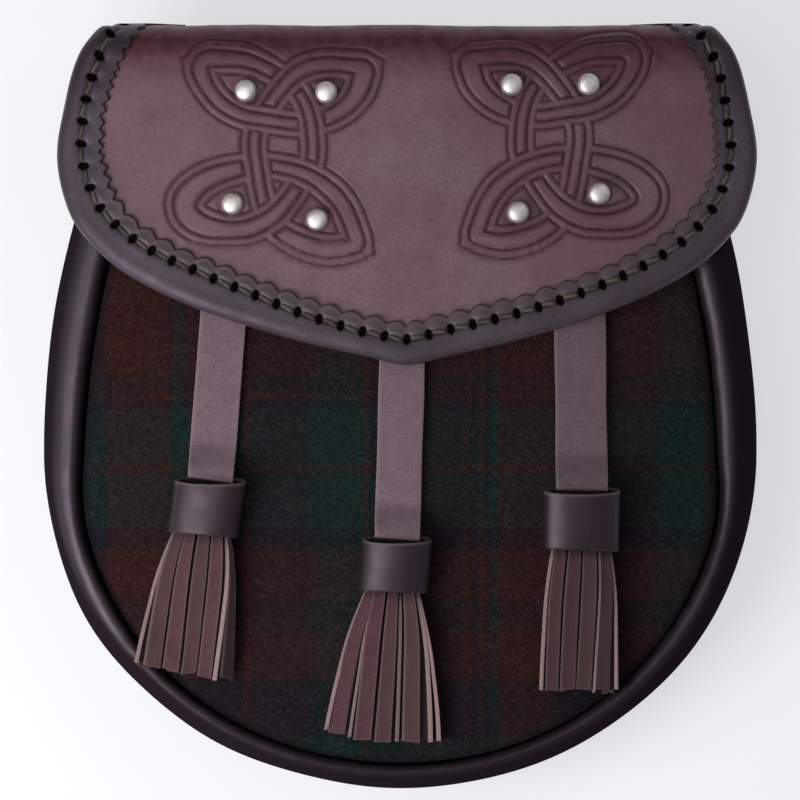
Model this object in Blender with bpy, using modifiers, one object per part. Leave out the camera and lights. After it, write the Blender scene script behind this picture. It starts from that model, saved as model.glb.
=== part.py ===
"""Day sporran: a leather pouch with a domed tartan front, a bound flap, eight studs and three tassels.

It lies on its back. X runs to the right of the face, Y up the face to the fold, Z out of the face.
"""
import math

import bmesh
import bpy
from mathutils import Matrix, Vector

# Driving sizes, in metres
CLEARANCE = 0.0003

FOLD_Y = 0.0947
GUSSET_TOP_GAP = 0.0112
MOUTH_DROP = 0.0040
BODY_HALF_WIDTH = 0.0893
BODY_WIDEST_Y = -0.0125
BODY_DROP = 0.0836
BODY_RISE = 0.1406
OUTLINE_POWER = 2.05

LOOP_WIDTH = 0.026
LOOP_HEIGHT = 0.036
LOOP_THICKNESS = 0.0018
LOOP_SLIT = 0.0010
LOOP_X = 0.037
LOOP_TOP_GAP = 0.007

BACK_THICKNESS = 0.0022
BACK_TOP_GAP = 0.008

BAND_THICKNESS = 0.0020
GUSSET_HEIGHT = 0.0255
FLANGE_WIDTH = 0.011
ROLL_SIDE = 0.0084
ROLL_BOTTOM = 0.0056

PANEL_THICKNESS = 0.0020
PANEL_RECESS = 0.0019
PANEL_CROWN = 0.0080
DOME_POWER = 2.4
ROLL_RISE_START = 0.88
ROLL_RISE_END = 0.97

FLAP_HALF_WIDTH = 0.0874
FLAP_SHIFT = 0.00175
FLAP_THICKNESS = 0.0020
FLAP_EASE = 0.0016
FOLD_RADIUS = 0.0080
BACK_FOLD_RADIUS = 0.0075
FLAP_DROP = 0.0760
FLAP_TOP_RUN = 0.0200
LAP_LENGTH = 0.0130
LAP_HALF_WIDTH = 0.0470
LAP_CORNER = 0.1
FLAP_SPREAD = 1.13

BINDING_THICKNESS = 0.0010
BINDING_FRONT_WIDTH = 0.0092
BINDING_BACK_WIDTH = 0.0075
BINDING_GAP = 0.0005
EDGE_ROOM = 0.55

STUD_DIAMETER = 0.0055
STUD_HEIGHT = 0.0021
STUD_BRIM = 0.15
PRESS_STUD_DIAMETER = 0.0100
PRESS_STUD_DROP = 0.42

STRAP_THICKNESS = 0.0020
STRAP_WIDTH = 0.0125
CAP_WALL = 0.0016
CAP_DEPTH = 0.0092
CAP_WIDTH = 0.0180
CAP_HEIGHT = 0.0130
FRINGE_SPREAD = 0.0240
STRAP_TUCK = 0.0035
STRAP_RISE = 0.009
STRAP_CURL = 0.0007
STRAP_NARROWS = 0.84
STRAP_PINCH = 0.004
TASSEL_TILT = math.radians(7.0)
STRIP_THICKNESS = 0.0015
STRIP_COUNT = 5
HEAD_SHOWS = 0.0010
STRIP_ROOT = 0.0030
LAYER_GAP = 0.0009
STRIP_FILL = 0.90
ROOT_SHARE = 0.78

# Levels worked out from the sizes, from the ground up
BODY_TOP_Y = FOLD_Y - GUSSET_TOP_GAP
MOUTH_Y = BODY_TOP_Y - MOUTH_DROP
BACK_UNDER_Z = LOOP_THICKNESS + LOOP_SLIT
BACK_INNER_Z = BACK_UNDER_Z + BACK_THICKNESS
FLANGE_Z = BACK_INNER_Z + CLEARANCE + BAND_THICKNESS / 2
ROLL_TOP_Z = FLANGE_Z + GUSSET_HEIGHT + BAND_THICKNESS / 2
PANEL_EDGE_Z = ROLL_TOP_Z - PANEL_RECESS
LAP_Z = BACK_INNER_Z + CLEARANCE + FLAP_THICKNESS / 2
BINDING_REACH = FLAP_THICKNESS / 2 + BINDING_GAP + BINDING_THICKNESS
FLAP_LIFT = CLEARANCE + STRAP_THICKNESS + CLEARANCE + BINDING_REACH
FLAP_EDGE_LIFT = PANEL_RECESS + CLEARANCE + BINDING_REACH
FLAP_CROWN = PANEL_CROWN + FLAP_LIFT - FLAP_EDGE_LIFT + FLAP_EASE
FOLD_MIDDLE_Y = FOLD_Y - FLAP_THICKNESS / 2
FOLD_START_Y = FOLD_MIDDLE_Y - FOLD_RADIUS
FRONT_BEND = FOLD_RADIUS * math.pi / 2
BACK_BEND = BACK_FOLD_RADIUS * math.pi / 2
FOLD_RUN = FRONT_BEND + FLAP_TOP_RUN + BACK_BEND

# The gusset's section from the back seam to the front groove: shares of the flange's width,
# of the roll's width, and of the gusset's height
GUSSET_SECTION = (
    {"flange": 1.00, "roll": 0.00, "height": 0.00},
    {"flange": 0.40, "roll": 0.00, "height": 0.00},
    {"flange": 0.14, "roll": 0.00, "height": 0.04},
    {"flange": 0.05, "roll": 0.00, "height": 0.15},
    {"flange": 0.01, "roll": 0.00, "height": 0.38},
    {"flange": 0.00, "roll": 0.00, "height": 0.62},
    {"flange": 0.00, "roll": 0.06, "height": 0.83},
    {"flange": 0.00, "roll": 0.25, "height": 0.95},
    {"flange": 0.00, "roll": 0.53, "height": 1.00},
    {"flange": 0.00, "roll": 0.82, "height": 0.95},
    {"flange": 0.00, "roll": 0.98, "height": 0.85},
    {"flange": 0.00, "roll": 1.00, "height": 0.75},
)

# The flap's free edge behind the fold's start: shares of the half width and of the fold's run
FLAP_BACK_ROWS = (
    {"half": 0.615, "back": 1.00},
    {"half": 0.690, "back": 0.93},
    {"half": 0.745, "back": 0.78},
    {"half": 0.800, "back": 0.52},
    {"half": 0.856, "back": 0.28},
    {"half": 0.900, "back": 0.15},
)
# The flap's free edge on the face: shares of the half width and of the drop to the tip
FLAP_FRONT_ROWS = (
    {"half": 0.946, "drop": 0.000},
    {"half": 0.979, "drop": 0.147},
    {"half": 1.000, "drop": 0.319},
    {"half": 0.968, "drop": 0.490},
    {"half": 0.905, "drop": 0.600},
    {"half": 0.798, "drop": 0.704},
    {"half": 0.620, "drop": 0.806},
    {"half": 0.360, "drop": 0.906},
    {"half": 0.120, "drop": 0.972},
    {"half": 0.000, "drop": 1.000},
)

# The binding's section from its front edge round the flap's edge to its rear edge: shares of its
# widths on the two faces, how far the turned part keeps from the rim, and its height off the middle
BINDING_SECTION = (
    {"front": 1.0, "back": 0.0, "turn": None, "lift": 1.00},
    {"front": 0.5, "back": 0.0, "turn": None, "lift": 1.00},
    {"front": 0.0, "back": 0.0, "turn": 0.80, "lift": 1.00},
    {"front": 0.0, "back": 0.0, "turn": 0.00, "lift": 0.55},
    {"front": 0.0, "back": 0.0, "turn": 0.00, "lift": -0.55},
    {"front": 0.0, "back": 0.0, "turn": 0.80, "lift": -1.00},
    {"front": 0.0, "back": 1.0, "turn": None, "lift": -1.00},
)

# Studs: shares of the flap's half width, from its middle, and of its drop below the fold
STUD_ROWS = (
    {"across": -0.459, "drop": 0.100},
    {"across": -0.230, "drop": 0.105},
    {"across": -0.497, "drop": 0.471},
    {"across": -0.256, "drop": 0.523},
    {"across": 0.298, "drop": 0.080},
    {"across": 0.517, "drop": 0.078},
    {"across": 0.547, "drop": 0.437},
    {"across": 0.316, "drop": 0.499},
)

# Tassels: places as shares of the body's half width and drop, from its widest line,
# and sizes as shares of the strap's width, the cap's width and height and the fringe's spread
TASSELS = {
    "left": {
        "top": (-0.490, 0.560), "cap": (-0.531, -0.090), "tip": (-0.606, -0.650),
        "strap": 0.90, "cap_width": 0.99, "cap_height": 0.985, "spread": 1.00,
    },
    "centre": {
        "top": (0.000, 0.420), "cap": (-0.008, -0.266), "tip": (-0.052, -0.846),
        "strap": 1.00, "cap_width": 0.955, "cap_height": 0.94, "spread": 1.125,
    },
    "right": {
        "top": (0.502, 0.560), "cap": (0.509, -0.120), "tip": (0.500, -0.706),
        "strap": 1.025, "cap_width": 1.055, "cap_height": 1.075, "spread": 0.895,
    },
}

CAP_PROFILE = (
    {"down": 0.00, "girth": 0.94},
    {"down": 0.12, "girth": 0.99},
    {"down": 0.50, "girth": 1.02},
    {"down": 0.88, "girth": 0.99},
    {"down": 1.00, "girth": 0.94},
)

LOOP_PROFILE = (
    {"along": 0.00, "out": 0.0},
    {"along": 0.14, "out": 0.0},
    {"along": 0.24, "out": 1.0},
    {"along": 0.76, "out": 1.0},
    {"along": 0.86, "out": 0.0},
    {"along": 1.00, "out": 0.0},
)

GUSSET_UPPER_STEPS = 7
GUSSET_LOWER_STEPS = 26
PANEL_RINGS = (1.0, 0.93, 0.80, 0.60, 0.36)
MOUTH_STEPS = 10
FLAP_COLUMNS = 12
FLAP_EDGE_STEPS = 3
FOLD_EDGE_STEPS = 3
CAP_SIDES = 20
HEAD_SIDES = 16
STRAP_STEPS = 9
STRIP_STATIONS = (0.20, 0.42, 0.70, 1.0)
STUD_SIDES = 12
STUD_STEPS = 4


def clear_scene():
    for old in list(bpy.data.objects):
        bpy.data.objects.remove(old, do_unlink=True)


def smooth_step(share):
    share = min(1.0, max(0.0, share))
    return share * share * (3.0 - 2.0 * share)


def blend(first, second, share):
    return first + (second - first) * share


def through_points(points, steps):
    """Points on one smooth curve through the given ones, with steps pieces between two of them."""
    curve = []
    last = len(points) - 1
    for index in range(last):
        before = points[max(0, index - 1)]
        start = points[index]
        end = points[index + 1]
        after = points[min(last, index + 2)]
        for step in range(steps):
            t = step / steps
            pull = (end - before) * t + (2 * before - 5 * start + 4 * end - after) * t ** 2
            curve.append(start + 0.5 * (pull + (3 * start - before - 3 * end + after) * t ** 3))
    curve.append(points[last].copy())
    return curve


def body_half_width(y):
    """Half the body's width at a height on the face."""
    reach = BODY_DROP if y < BODY_WIDEST_Y else BODY_RISE
    share = min(1.0, abs(y - BODY_WIDEST_Y) / reach)
    return BODY_HALF_WIDTH * (1.0 - share ** OUTLINE_POWER) ** (1.0 / OUTLINE_POWER)


def body_path(top_y):
    """The body's outline as a U, from its upper left end round the bottom to its upper right end."""
    rounding = 2.0 / OUTLINE_POWER
    left = []
    for step in range(GUSSET_UPPER_STEPS):
        y = blend(top_y, BODY_WIDEST_Y, step / GUSSET_UPPER_STEPS)
        left.append(Vector((-body_half_width(y), y)))
    bowl = []
    for step in range(GUSSET_LOWER_STEPS + 1):
        angle = math.pi * step / GUSSET_LOWER_STEPS
        side = math.copysign(abs(math.cos(angle)) ** rounding, math.cos(angle))
        down = abs(math.sin(angle)) ** rounding
        bowl.append(Vector((-BODY_HALF_WIDTH * side, BODY_WIDEST_Y - BODY_DROP * down)))
    right = [Vector((-point.x, point.y)) for point in reversed(left)]
    return left + bowl + right


def path_normals(path):
    """Unit normals on the path's right-hand side, which is the outer side of a U run this way."""
    normals = []
    last = len(path) - 1
    for index in range(len(path)):
        along = path[min(last, index + 1)] - path[max(0, index - 1)]
        normals.append(Vector((along.y, -along.x)).normalized())
    return normals


def roll_width(normal):
    """The rolled border narrows from the sides to the bottom."""
    return blend(ROLL_SIDE, ROLL_BOTTOM, max(0.0, -normal.y) ** 2)


def dome_share(x, y, spread):
    """How far out a point lies on the face: 0 at the widest line's middle, 1 at the panel's edge."""
    reach = BODY_DROP - ROLL_BOTTOM if y < BODY_WIDEST_Y else BODY_RISE
    across = abs(x) / ((BODY_HALF_WIDTH - ROLL_SIDE) * spread)
    along = abs(y - BODY_WIDEST_Y) / (reach * spread)
    return (across ** OUTLINE_POWER + along ** OUTLINE_POWER) ** (1.0 / OUTLINE_POWER)


def panel_z(x, y):
    """Height of the front panel's outer face."""
    return PANEL_EDGE_Z + PANEL_CROWN * (1.0 - dome_share(x, y, 1.0) ** DOME_POWER)


def rest_z(x, y):
    """Height that the tassels lie on: the front panel, and the rolled border round it."""
    on_roll = smooth_step((dome_share(x, y, 1.0) - ROLL_RISE_START) / (ROLL_RISE_END - ROLL_RISE_START))
    return blend(panel_z(x, y), ROLL_TOP_Z, on_roll)


def flap_z(x, y):
    """Height of the flap's middle surface on the face."""
    return PANEL_EDGE_Z + FLAP_EDGE_LIFT + FLAP_CROWN * (1.0 - dome_share(x, y, FLAP_SPREAD) ** DOME_POWER)


def flap_point(x, run):
    """The flap's middle surface: run is 0 where the fold starts, positive down the face."""
    if run >= 0.0:
        y = FOLD_START_Y - run
        return Vector((x, y, flap_z(x, y)))
    back = -run
    face_z = flap_z(x, FOLD_START_Y)
    if back <= FRONT_BEND:
        angle = back / FOLD_RADIUS
        y = FOLD_START_Y + FOLD_RADIUS * math.sin(angle)
        return Vector((x, y, face_z - FOLD_RADIUS * (1.0 - math.cos(angle))))
    back -= FRONT_BEND
    top_start = face_z - FOLD_RADIUS
    top_end = LAP_Z + BACK_FOLD_RADIUS
    if back <= FLAP_TOP_RUN:
        return Vector((x, FOLD_MIDDLE_Y, blend(top_start, top_end, back / FLAP_TOP_RUN)))
    back -= FLAP_TOP_RUN
    if back <= BACK_BEND:
        angle = back / BACK_FOLD_RADIUS
        y = FOLD_MIDDLE_Y - BACK_FOLD_RADIUS * (1.0 - math.cos(angle))
        return Vector((x, y, top_end - BACK_FOLD_RADIUS * math.sin(angle)))
    back -= BACK_BEND
    return Vector((x, FOLD_MIDDLE_Y - BACK_FOLD_RADIUS - back, LAP_Z))


def flap_normal(x, run):
    """The flap's outward normal."""
    step = 0.0002
    across = flap_point(x + step, run) - flap_point(x - step, run)
    down = flap_point(x, run + step) - flap_point(x, run - step)
    return down.cross(across).normalized()


def flap_edge():
    """Half of the flap's outer edge in the flat, from the lap round to the tip, as (half width, run)."""
    back = [Vector((row["half"] * FLAP_HALF_WIDTH, -row["back"] * FOLD_RUN)) for row in FLAP_BACK_ROWS]
    front = [Vector((row["half"] * FLAP_HALF_WIDTH, row["drop"] * FLAP_DROP)) for row in FLAP_FRONT_ROWS]
    mirrored_tip = Vector((-front[-2].x, front[-2].y))
    behind = through_points(back + front[:2], FOLD_EDGE_STEPS)[:-FOLD_EDGE_STEPS - 1]
    ahead = through_points([back[-1]] + front + [mirrored_tip], FLAP_EDGE_STEPS)
    return behind + ahead[FLAP_EDGE_STEPS:-FLAP_EDGE_STEPS]


def inset_edge(edge, distance):
    """The half edge moved inwards in the flat."""
    last = len(edge) - 1
    inset = []
    for index, point in enumerate(edge):
        along = edge[min(last, index + 1)] - edge[max(0, index - 1)]
        if index == last:
            along = Vector((-1.0, 0.0))
        inward = Vector((-along.y, along.x)).normalized()
        if inward.x > 0.0:
            inward = -inward
        inset.append(point + inward * distance)
    inset[last].x = 0.0
    return inset


def new_object(name, mesh, material, collection):
    made = bpy.data.objects.new(name, mesh)
    mesh.materials.append(material)
    collection.objects.link(made)
    return made


def grid_object(name, rows, material, collection, closed=False):
    """A sheet through rows of points; closed joins each row's end to its start."""
    mesh = bpy.data.meshes.new(name)
    build = bmesh.new()
    grid = [[build.verts.new(point) for point in row] for row in rows]
    for upper, lower in zip(grid, grid[1:]):
        count = len(upper)
        for column in range(count if closed else count - 1):
            following = (column + 1) % count
            build.faces.new((upper[column], lower[column], lower[following], upper[following]))
    bmesh.ops.remove_doubles(build, verts=build.verts[:], dist=0.00001)
    bmesh.ops.recalc_face_normals(build, faces=build.faces[:])
    build.to_mesh(mesh)
    build.free()
    mesh.shade_smooth()
    return new_object(name, mesh, material, collection)


def thicken(sheet, thickness, offset):
    wall = sheet.modifiers.new("wall", "SOLIDIFY")
    wall.thickness = thickness
    wall.offset = offset
    wall.use_even_offset = True
    wall.use_quality_normals = True


def material(name, colour, roughness, metallic=0.0):
    made = bpy.data.materials.new(name)
    made.use_nodes = True
    shader = made.node_tree.nodes["Principled BSDF"]
    shader.inputs["Base Color"].default_value = (*colour, 1.0)
    shader.inputs["Roughness"].default_value = roughness
    shader.inputs["Metallic"].default_value = metallic
    return made


def build_back_panel(collection):
    """Flat leather back, cut along the gusset's seam and straight at the top."""
    outline = body_path(FOLD_Y - BACK_TOP_GAP)
    inset = FLANGE_WIDTH * GUSSET_SECTION[2]["flange"]
    path = [point - normal * inset for point, normal in zip(outline, path_normals(outline))]
    curve = bpy.data.curves.new("back_panel", "CURVE")
    curve.dimensions = "2D"
    curve.fill_mode = "BOTH"
    curve.extrude = BACK_THICKNESS / 2
    spline = curve.splines.new("POLY")
    spline.points.add(len(path) - 1)
    for place, point in zip(spline.points, path):
        place.co = (point.x, point.y, 0.0, 1.0)
    spline.use_cyclic_u = True
    guide = bpy.data.objects.new("back_outline", curve)
    collection.objects.link(guide)
    guide.location.z = BACK_UNDER_Z + BACK_THICKNESS / 2
    bpy.context.view_layer.update()
    mesh = bpy.data.meshes.new_from_object(guide.evaluated_get(bpy.context.evaluated_depsgraph_get()))
    build = bmesh.new()
    build.from_mesh(mesh)
    bmesh.ops.remove_doubles(build, verts=build.verts[:], dist=0.00001)
    bmesh.ops.recalc_face_normals(build, faces=build.faces[:])
    build.to_mesh(mesh)
    build.free()
    mesh.materials.clear()
    panel = new_object("back_panel", mesh, material("back leather", (0.045, 0.030, 0.030), 0.55), collection)
    panel.matrix_world = guide.matrix_world
    bpy.data.objects.remove(guide, do_unlink=True)
    bpy.data.curves.remove(curve)
    return panel


def build_gusset(collection):
    """One band from the back's seam to the rolled border round the front panel."""
    outline = body_path(BODY_TOP_Y)
    normals = path_normals(outline)
    rows = []
    for section in GUSSET_SECTION:
        row = []
        for point, normal in zip(outline, normals):
            roll = (roll_width(normal) - BAND_THICKNESS) * section["roll"]
            inward = BAND_THICKNESS / 2 + section["flange"] * FLANGE_WIDTH + roll
            place = point - normal * inward
            row.append((place.x, place.y, FLANGE_Z + GUSSET_HEIGHT * section["height"]))
        rows.append(row)
    leather = material("gusset leather", (0.040, 0.027, 0.034), 0.35)
    band = grid_object("gusset", rows, leather, collection)
    thicken(band, BAND_THICKNESS, 0.0)


def build_front_panel(collection):
    """Domed front inside the rolled border, open to the mouth at its straight top."""
    outline = body_path(MOUTH_Y)
    normals = path_normals(outline)
    border = []
    for point, normal in zip(outline, normals):
        place = point - normal * (roll_width(normal) + CLEARANCE)
        border.append(Vector((place.x, min(place.y, MOUTH_Y))))
    for step in range(1, MOUTH_STEPS):
        border.append(border[len(outline) - 1].lerp(border[0], step / MOUTH_STEPS))
    middle = Vector((0.0, BODY_WIDEST_Y))
    rows = []
    for ring in PANEL_RINGS:
        row = []
        for point in border:
            place = middle.lerp(point, ring)
            row.append((place.x, place.y, panel_z(place.x, place.y)))
        rows.append(row)
    rows.append([(middle.x, middle.y, panel_z(middle.x, middle.y))] * len(border))
    cloth = material("tartan cloth", (0.030, 0.026, 0.028), 0.85)
    panel = grid_object("front_panel", rows, cloth, collection, closed=True)
    thicken(panel, PANEL_THICKNESS, -1.0)


def build_flap(collection):
    """Leather sheet from its lap on the back, over the fold, down the face to a blunt point."""
    inset = BINDING_THICKNESS + FLAP_THICKNESS * EDGE_ROOM + BINDING_GAP
    edge = inset_edge(flap_edge(), inset)
    lap_run = -FOLD_RUN - LAP_LENGTH
    lap_start = -FOLD_RUN - LAP_LENGTH * LAP_CORNER
    halves = [Vector((LAP_HALF_WIDTH, lap_run)), Vector((LAP_HALF_WIDTH, lap_start))]
    halves += edge
    rows = []
    for half in halves:
        row = []
        for column in range(FLAP_COLUMNS + 1):
            side = 2.0 * column / FLAP_COLUMNS - 1.0
            row.append(flap_point(FLAP_SHIFT + half.x * side, half.y))
        rows.append(row)
    leather = material("flap leather", (0.150, 0.090, 0.100), 0.45)
    flap = grid_object("flap", rows, leather, collection)
    thicken(flap, FLAP_THICKNESS, 0.0)


def build_flap_binding(collection):
    """Thin leather folded round the flap's free edge, on both of its faces."""
    edge = flap_edge()
    height = FLAP_THICKNESS / 2 + BINDING_GAP + BINDING_THICKNESS / 2
    rows = []
    for section in BINDING_SECTION:
        inward = section["front"] * BINDING_FRONT_WIDTH + section["back"] * BINDING_BACK_WIDTH
        if section["turn"] is not None:
            inward = BINDING_THICKNESS / 2 + section["turn"] * height
        lift = section["lift"] * height
        half = inset_edge(edge, inward)
        whole = [(-point.x, point.y) for point in half]
        whole += [(point.x, point.y) for point in reversed(half[:-1])]
        row = []
        for x, run in whole:
            place = flap_point(FLAP_SHIFT + x, run)
            row.append(place + flap_normal(FLAP_SHIFT + x, run) * lift)
        rows.append(row)
    leather = material("binding leather", (0.070, 0.052, 0.060), 0.32)
    binding = grid_object("flap_binding", rows, leather, collection)
    thicken(binding, BINDING_THICKNESS, 0.0)


def turned(name, profile, sides, made_of, collection):
    """A turned piece from its profile, which runs down its outer side from the top."""
    mesh = bpy.data.meshes.new(name)
    edges = [(index, index + 1) for index in range(len(profile) - 1)]
    mesh.from_pydata([(radius, 0.0, z) for radius, z in profile], edges, [])
    piece = new_object(name, mesh, made_of, collection)
    screw = piece.modifiers.new("turn", "SCREW")
    screw.steps = sides
    screw.render_steps = sides
    screw.use_merge_vertices = True
    screw.merge_threshold = 0.00001
    screw.use_smooth_shade = True
    return piece


def set_on(piece, place, normal):
    piece.matrix_world = Matrix.Translation(place) @ normal.to_track_quat("Z", "Y").to_matrix().to_4x4()


def build_studs(collection):
    """Domed metal studs on the flap's knots, and the hidden press stud between flap and front."""
    metal = material("stud metal", (0.62, 0.60, 0.58), 0.18, 1.0)
    radius = STUD_DIAMETER / 2
    brim = STUD_HEIGHT * STUD_BRIM
    dome = [(0.0, STUD_HEIGHT)]
    for step in range(1, STUD_STEPS + 1):
        angle = step / STUD_STEPS * math.pi / 2
        dome.append((radius * math.sin(angle), brim + (STUD_HEIGHT - brim) * math.cos(angle)))
    dome += [(radius, 0.0), (0.0, 0.0)]
    for number, row in enumerate(STUD_ROWS, start=1):
        stud = turned(f"stud_{number}", dome, STUD_SIDES, metal, collection)
        x = FLAP_SHIFT + row["across"] * FLAP_HALF_WIDTH
        run = row["drop"] * FLAP_DROP
        normal = flap_normal(x, run)
        set_on(stud, flap_point(x, run) + normal * (FLAP_THICKNESS / 2 + CLEARANCE), normal)
    x = FLAP_SHIFT
    y = FOLD_START_Y - FLAP_DROP * PRESS_STUD_DROP
    floor_z = panel_z(x, y) + CLEARANCE
    height = flap_z(x, y) - FLAP_THICKNESS / 2 - CLEARANCE - floor_z
    half = PRESS_STUD_DIAMETER / 2
    disc = [(0.0, height), (half, height), (half, 0.0), (0.0, 0.0)]
    closure = turned("press_stud", disc, STUD_SIDES, metal, collection)
    set_on(closure, Vector((x, y, floor_z)), Vector((0.0, 0.0, 1.0)))


class Tassel:
    """One tassel's own frame on the front panel: across it, down it, and off the panel."""

    def __init__(self, row):
        self.top = self.on_face(row["top"])
        self.cap = self.on_face(row["cap"])
        self.tip = self.on_face(row["tip"])
        self.strap_width = STRAP_WIDTH * row["strap"]
        self.cap_width = CAP_WIDTH * row["cap_width"]
        self.cap_height = CAP_HEIGHT * row["cap_height"]
        self.spread = FRINGE_SPREAD * row["spread"]
        self.length = (self.tip - self.cap).length
        self.down = (self.tip - self.cap).normalized()
        self.across = Vector((-self.down.y, self.down.x))

    def on_face(self, shares):
        return Vector((shares[0] * BODY_HALF_WIDTH, BODY_WIDEST_Y + shares[1] * BODY_DROP))

    def point(self, across, down, height):
        place = self.cap + self.across * across + self.down * down
        return Vector((place.x, place.y, rest_z(place.x, place.y) + height))

    def tilt(self, down):
        """The cap's lift off the panel, which is greatest at its upper end."""
        return max(0.0, self.cap_height - down) * math.tan(TASSEL_TILT)

    def oval(self, down, width, depth, sides):
        """An oval round the tassel's axis, lying on the panel."""
        middle = CLEARANCE + CAP_DEPTH / 2 + self.tilt(down)
        ring = []
        for step in range(sides):
            angle = 2.0 * math.pi * step / sides
            across = width / 2 * math.cos(angle)
            ring.append(self.point(across, down, middle + depth / 2 * math.sin(angle)))
        return ring


def build_cap(side, tassel, leather, collection):
    """A rolled leather band round the tassel's head."""
    rows = []
    for profile in CAP_PROFILE:
        girth = profile["girth"]
        width = (tassel.cap_width - CAP_WALL) * girth
        depth = (CAP_DEPTH - CAP_WALL) * girth
        rows.append(tassel.oval(profile["down"] * tassel.cap_height, width, depth, CAP_SIDES))
    cap = grid_object(f"tassel_cap_{side}", rows, leather, collection, closed=True)
    thicken(cap, CAP_WALL, 0.0)


def build_strap(side, tassel, leather, collection):
    """A strap on the panel from under the flap, over the cap's rear lip and into the cap."""
    inside = tassel.cap + tassel.down * STRAP_TUCK
    flat_height = CLEARANCE + STRAP_THICKNESS / 2
    raised = CLEARANCE + CAP_DEPTH / 2 + tassel.tilt(0.0) - STRAP_CURL
    run = (tassel.cap - tassel.top).length
    stations = [tassel.top.lerp(tassel.cap, step / STRAP_STEPS) for step in range(STRAP_STEPS)]
    stations += [tassel.top.lerp(tassel.cap, 1.0 - STRAP_RISE * share / run) for share in (0.75, 0.5, 0.25)]
    stations.sort(key=lambda place: (place - tassel.top).length)
    stations += [tassel.cap, inside]
    rows = []
    for place in stations:
        left_over = (tassel.cap - place).dot((tassel.cap - tassel.top).normalized())
        entering = 1.0 - smooth_step(left_over / STRAP_RISE)
        lift = blend(flat_height, raised, entering)
        pinch = 1.0 - smooth_step(left_over / STRAP_PINCH)
        half = tassel.strap_width / 2 * blend(1.0, STRAP_NARROWS, pinch)
        points = []
        for share in (-1.0, 0.0, 1.0):
            edge = place + tassel.across * half * share
            curl = abs(share) * STRAP_CURL * entering
            points.append((edge.x, edge.y, rest_z(edge.x, edge.y) + lift + curl))
        rows.append(points)
    strap = grid_object(f"tassel_strap_{side}", rows, leather, collection)
    thicken(strap, STRAP_THICKNESS, 0.0)


def box_loft(sections):
    """A closed strip through rectangular sections of four corners each."""
    build = bmesh.new()
    rings = [[build.verts.new(corner) for corner in section] for section in sections]
    for upper, lower in zip(rings, rings[1:]):
        for corner in range(4):
            following = (corner + 1) % 4
            build.faces.new((upper[corner], upper[following], lower[following], lower[corner]))
    build.faces.new(list(reversed(rings[0])))
    build.faces.new(rings[-1])
    return build


def strip_sections(tassel, place, pitches, heights):
    """One cut strip of the fringe, from inside the head to its free end."""
    mouth = tassel.cap_height + CLEARANCE
    stations = [(mouth - STRIP_ROOT, 0.0), (mouth, 0.0)]
    stations += [(blend(mouth, tassel.length, share), share) for share in STRIP_STATIONS]
    sections = []
    for down, share in stations:
        pitch = blend(pitches[0], pitches[1], blend(share, smooth_step(share), 0.4))
        height = blend(heights[0], heights[1], smooth_step(share))
        half = pitch * STRIP_FILL / 2
        low = height - STRIP_THICKNESS / 2
        high = height + STRIP_THICKNESS / 2
        corners = ((-half, low), (half, low), (half, high), (-half, high))
        sections.append([tassel.point(place * pitch + side, down, level) for side, level in corners])
    return sections


def build_fringe(side, tassel, leather, collection, cutters):
    """Cut strips in two layers, fused to an oval head inside the cap."""
    head_width = tassel.cap_width * CAP_PROFILE[0]["girth"] - 2 * (CAP_WALL + CLEARANCE)
    head_depth = CAP_DEPTH * CAP_PROFILE[0]["girth"] - 2 * (CAP_WALL + CLEARANCE)
    head_end = tassel.cap_height + HEAD_SHOWS
    head_start = STRAP_TUCK + CLEARANCE * 2
    downs = (head_start, blend(head_start, head_end, 0.5), head_end)
    rings = [tassel.oval(down, head_width, head_depth, HEAD_SIDES) for down in downs]
    name = f"tassel_fringe_{side}"
    head = grid_object(name, rings, leather, collection, closed=True)
    build = bmesh.new()
    build.from_mesh(head.data)
    bmesh.ops.holes_fill(build, edges=build.edges[:], sides=0)
    bmesh.ops.triangulate(build, faces=build.faces[:])
    bmesh.ops.recalc_face_normals(build, faces=build.faces[:])
    build.to_mesh(head.data)
    build.free()
    middle = CLEARANCE + CAP_DEPTH / 2
    lowest = CLEARANCE + STRIP_THICKNESS / 2
    layers = {
        "front": {"count": STRIP_COUNT, "start": middle + LAYER_GAP, "end": lowest + 2 * LAYER_GAP},
        "back": {"count": STRIP_COUNT - 1, "start": middle - LAYER_GAP, "end": lowest},
    }
    for layer, values in layers.items():
        count = values["count"]
        pitches = (head_width * ROOT_SHARE / STRIP_COUNT, tassel.spread / STRIP_COUNT)
        heights = (values["start"], values["end"])
        joined = bpy.data.meshes.new(f"{name}_{layer}_strips")
        whole = bmesh.new()
        for index in range(count):
            sections = strip_sections(tassel, index - (count - 1) / 2, pitches, heights)
            strip = box_loft(sections)
            loose = bpy.data.meshes.new("strip")
            strip.to_mesh(loose)
            strip.free()
            whole.from_mesh(loose)
            bpy.data.meshes.remove(loose)
        bmesh.ops.triangulate(whole, faces=whole.faces[:])
        bmesh.ops.recalc_face_normals(whole, faces=whole.faces[:])
        whole.to_mesh(joined)
        whole.free()
        cutter = bpy.data.objects.new(f"{name}_{layer}_strips", joined)
        cutter.hide_render = True
        cutter.display_type = "WIRE"
        cutters.objects.link(cutter)
        union = head.modifiers.new(f"{layer} strips", "BOOLEAN")
        union.operation = "UNION"
        union.solver = "EXACT"
        union.object = cutter


def build_tassels(collection, cutters):
    suede = material("strap suede", (0.190, 0.140, 0.155), 0.80)
    band = material("cap leather", (0.060, 0.042, 0.048), 0.30)
    cut = material("fringe suede", (0.120, 0.075, 0.072), 0.80)
    for side, row in TASSELS.items():
        tassel = Tassel(row)
        build_strap(side, tassel, suede, collection)
        build_cap(side, tassel, band, collection)
        build_fringe(side, tassel, cut, collection, cutters)


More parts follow.
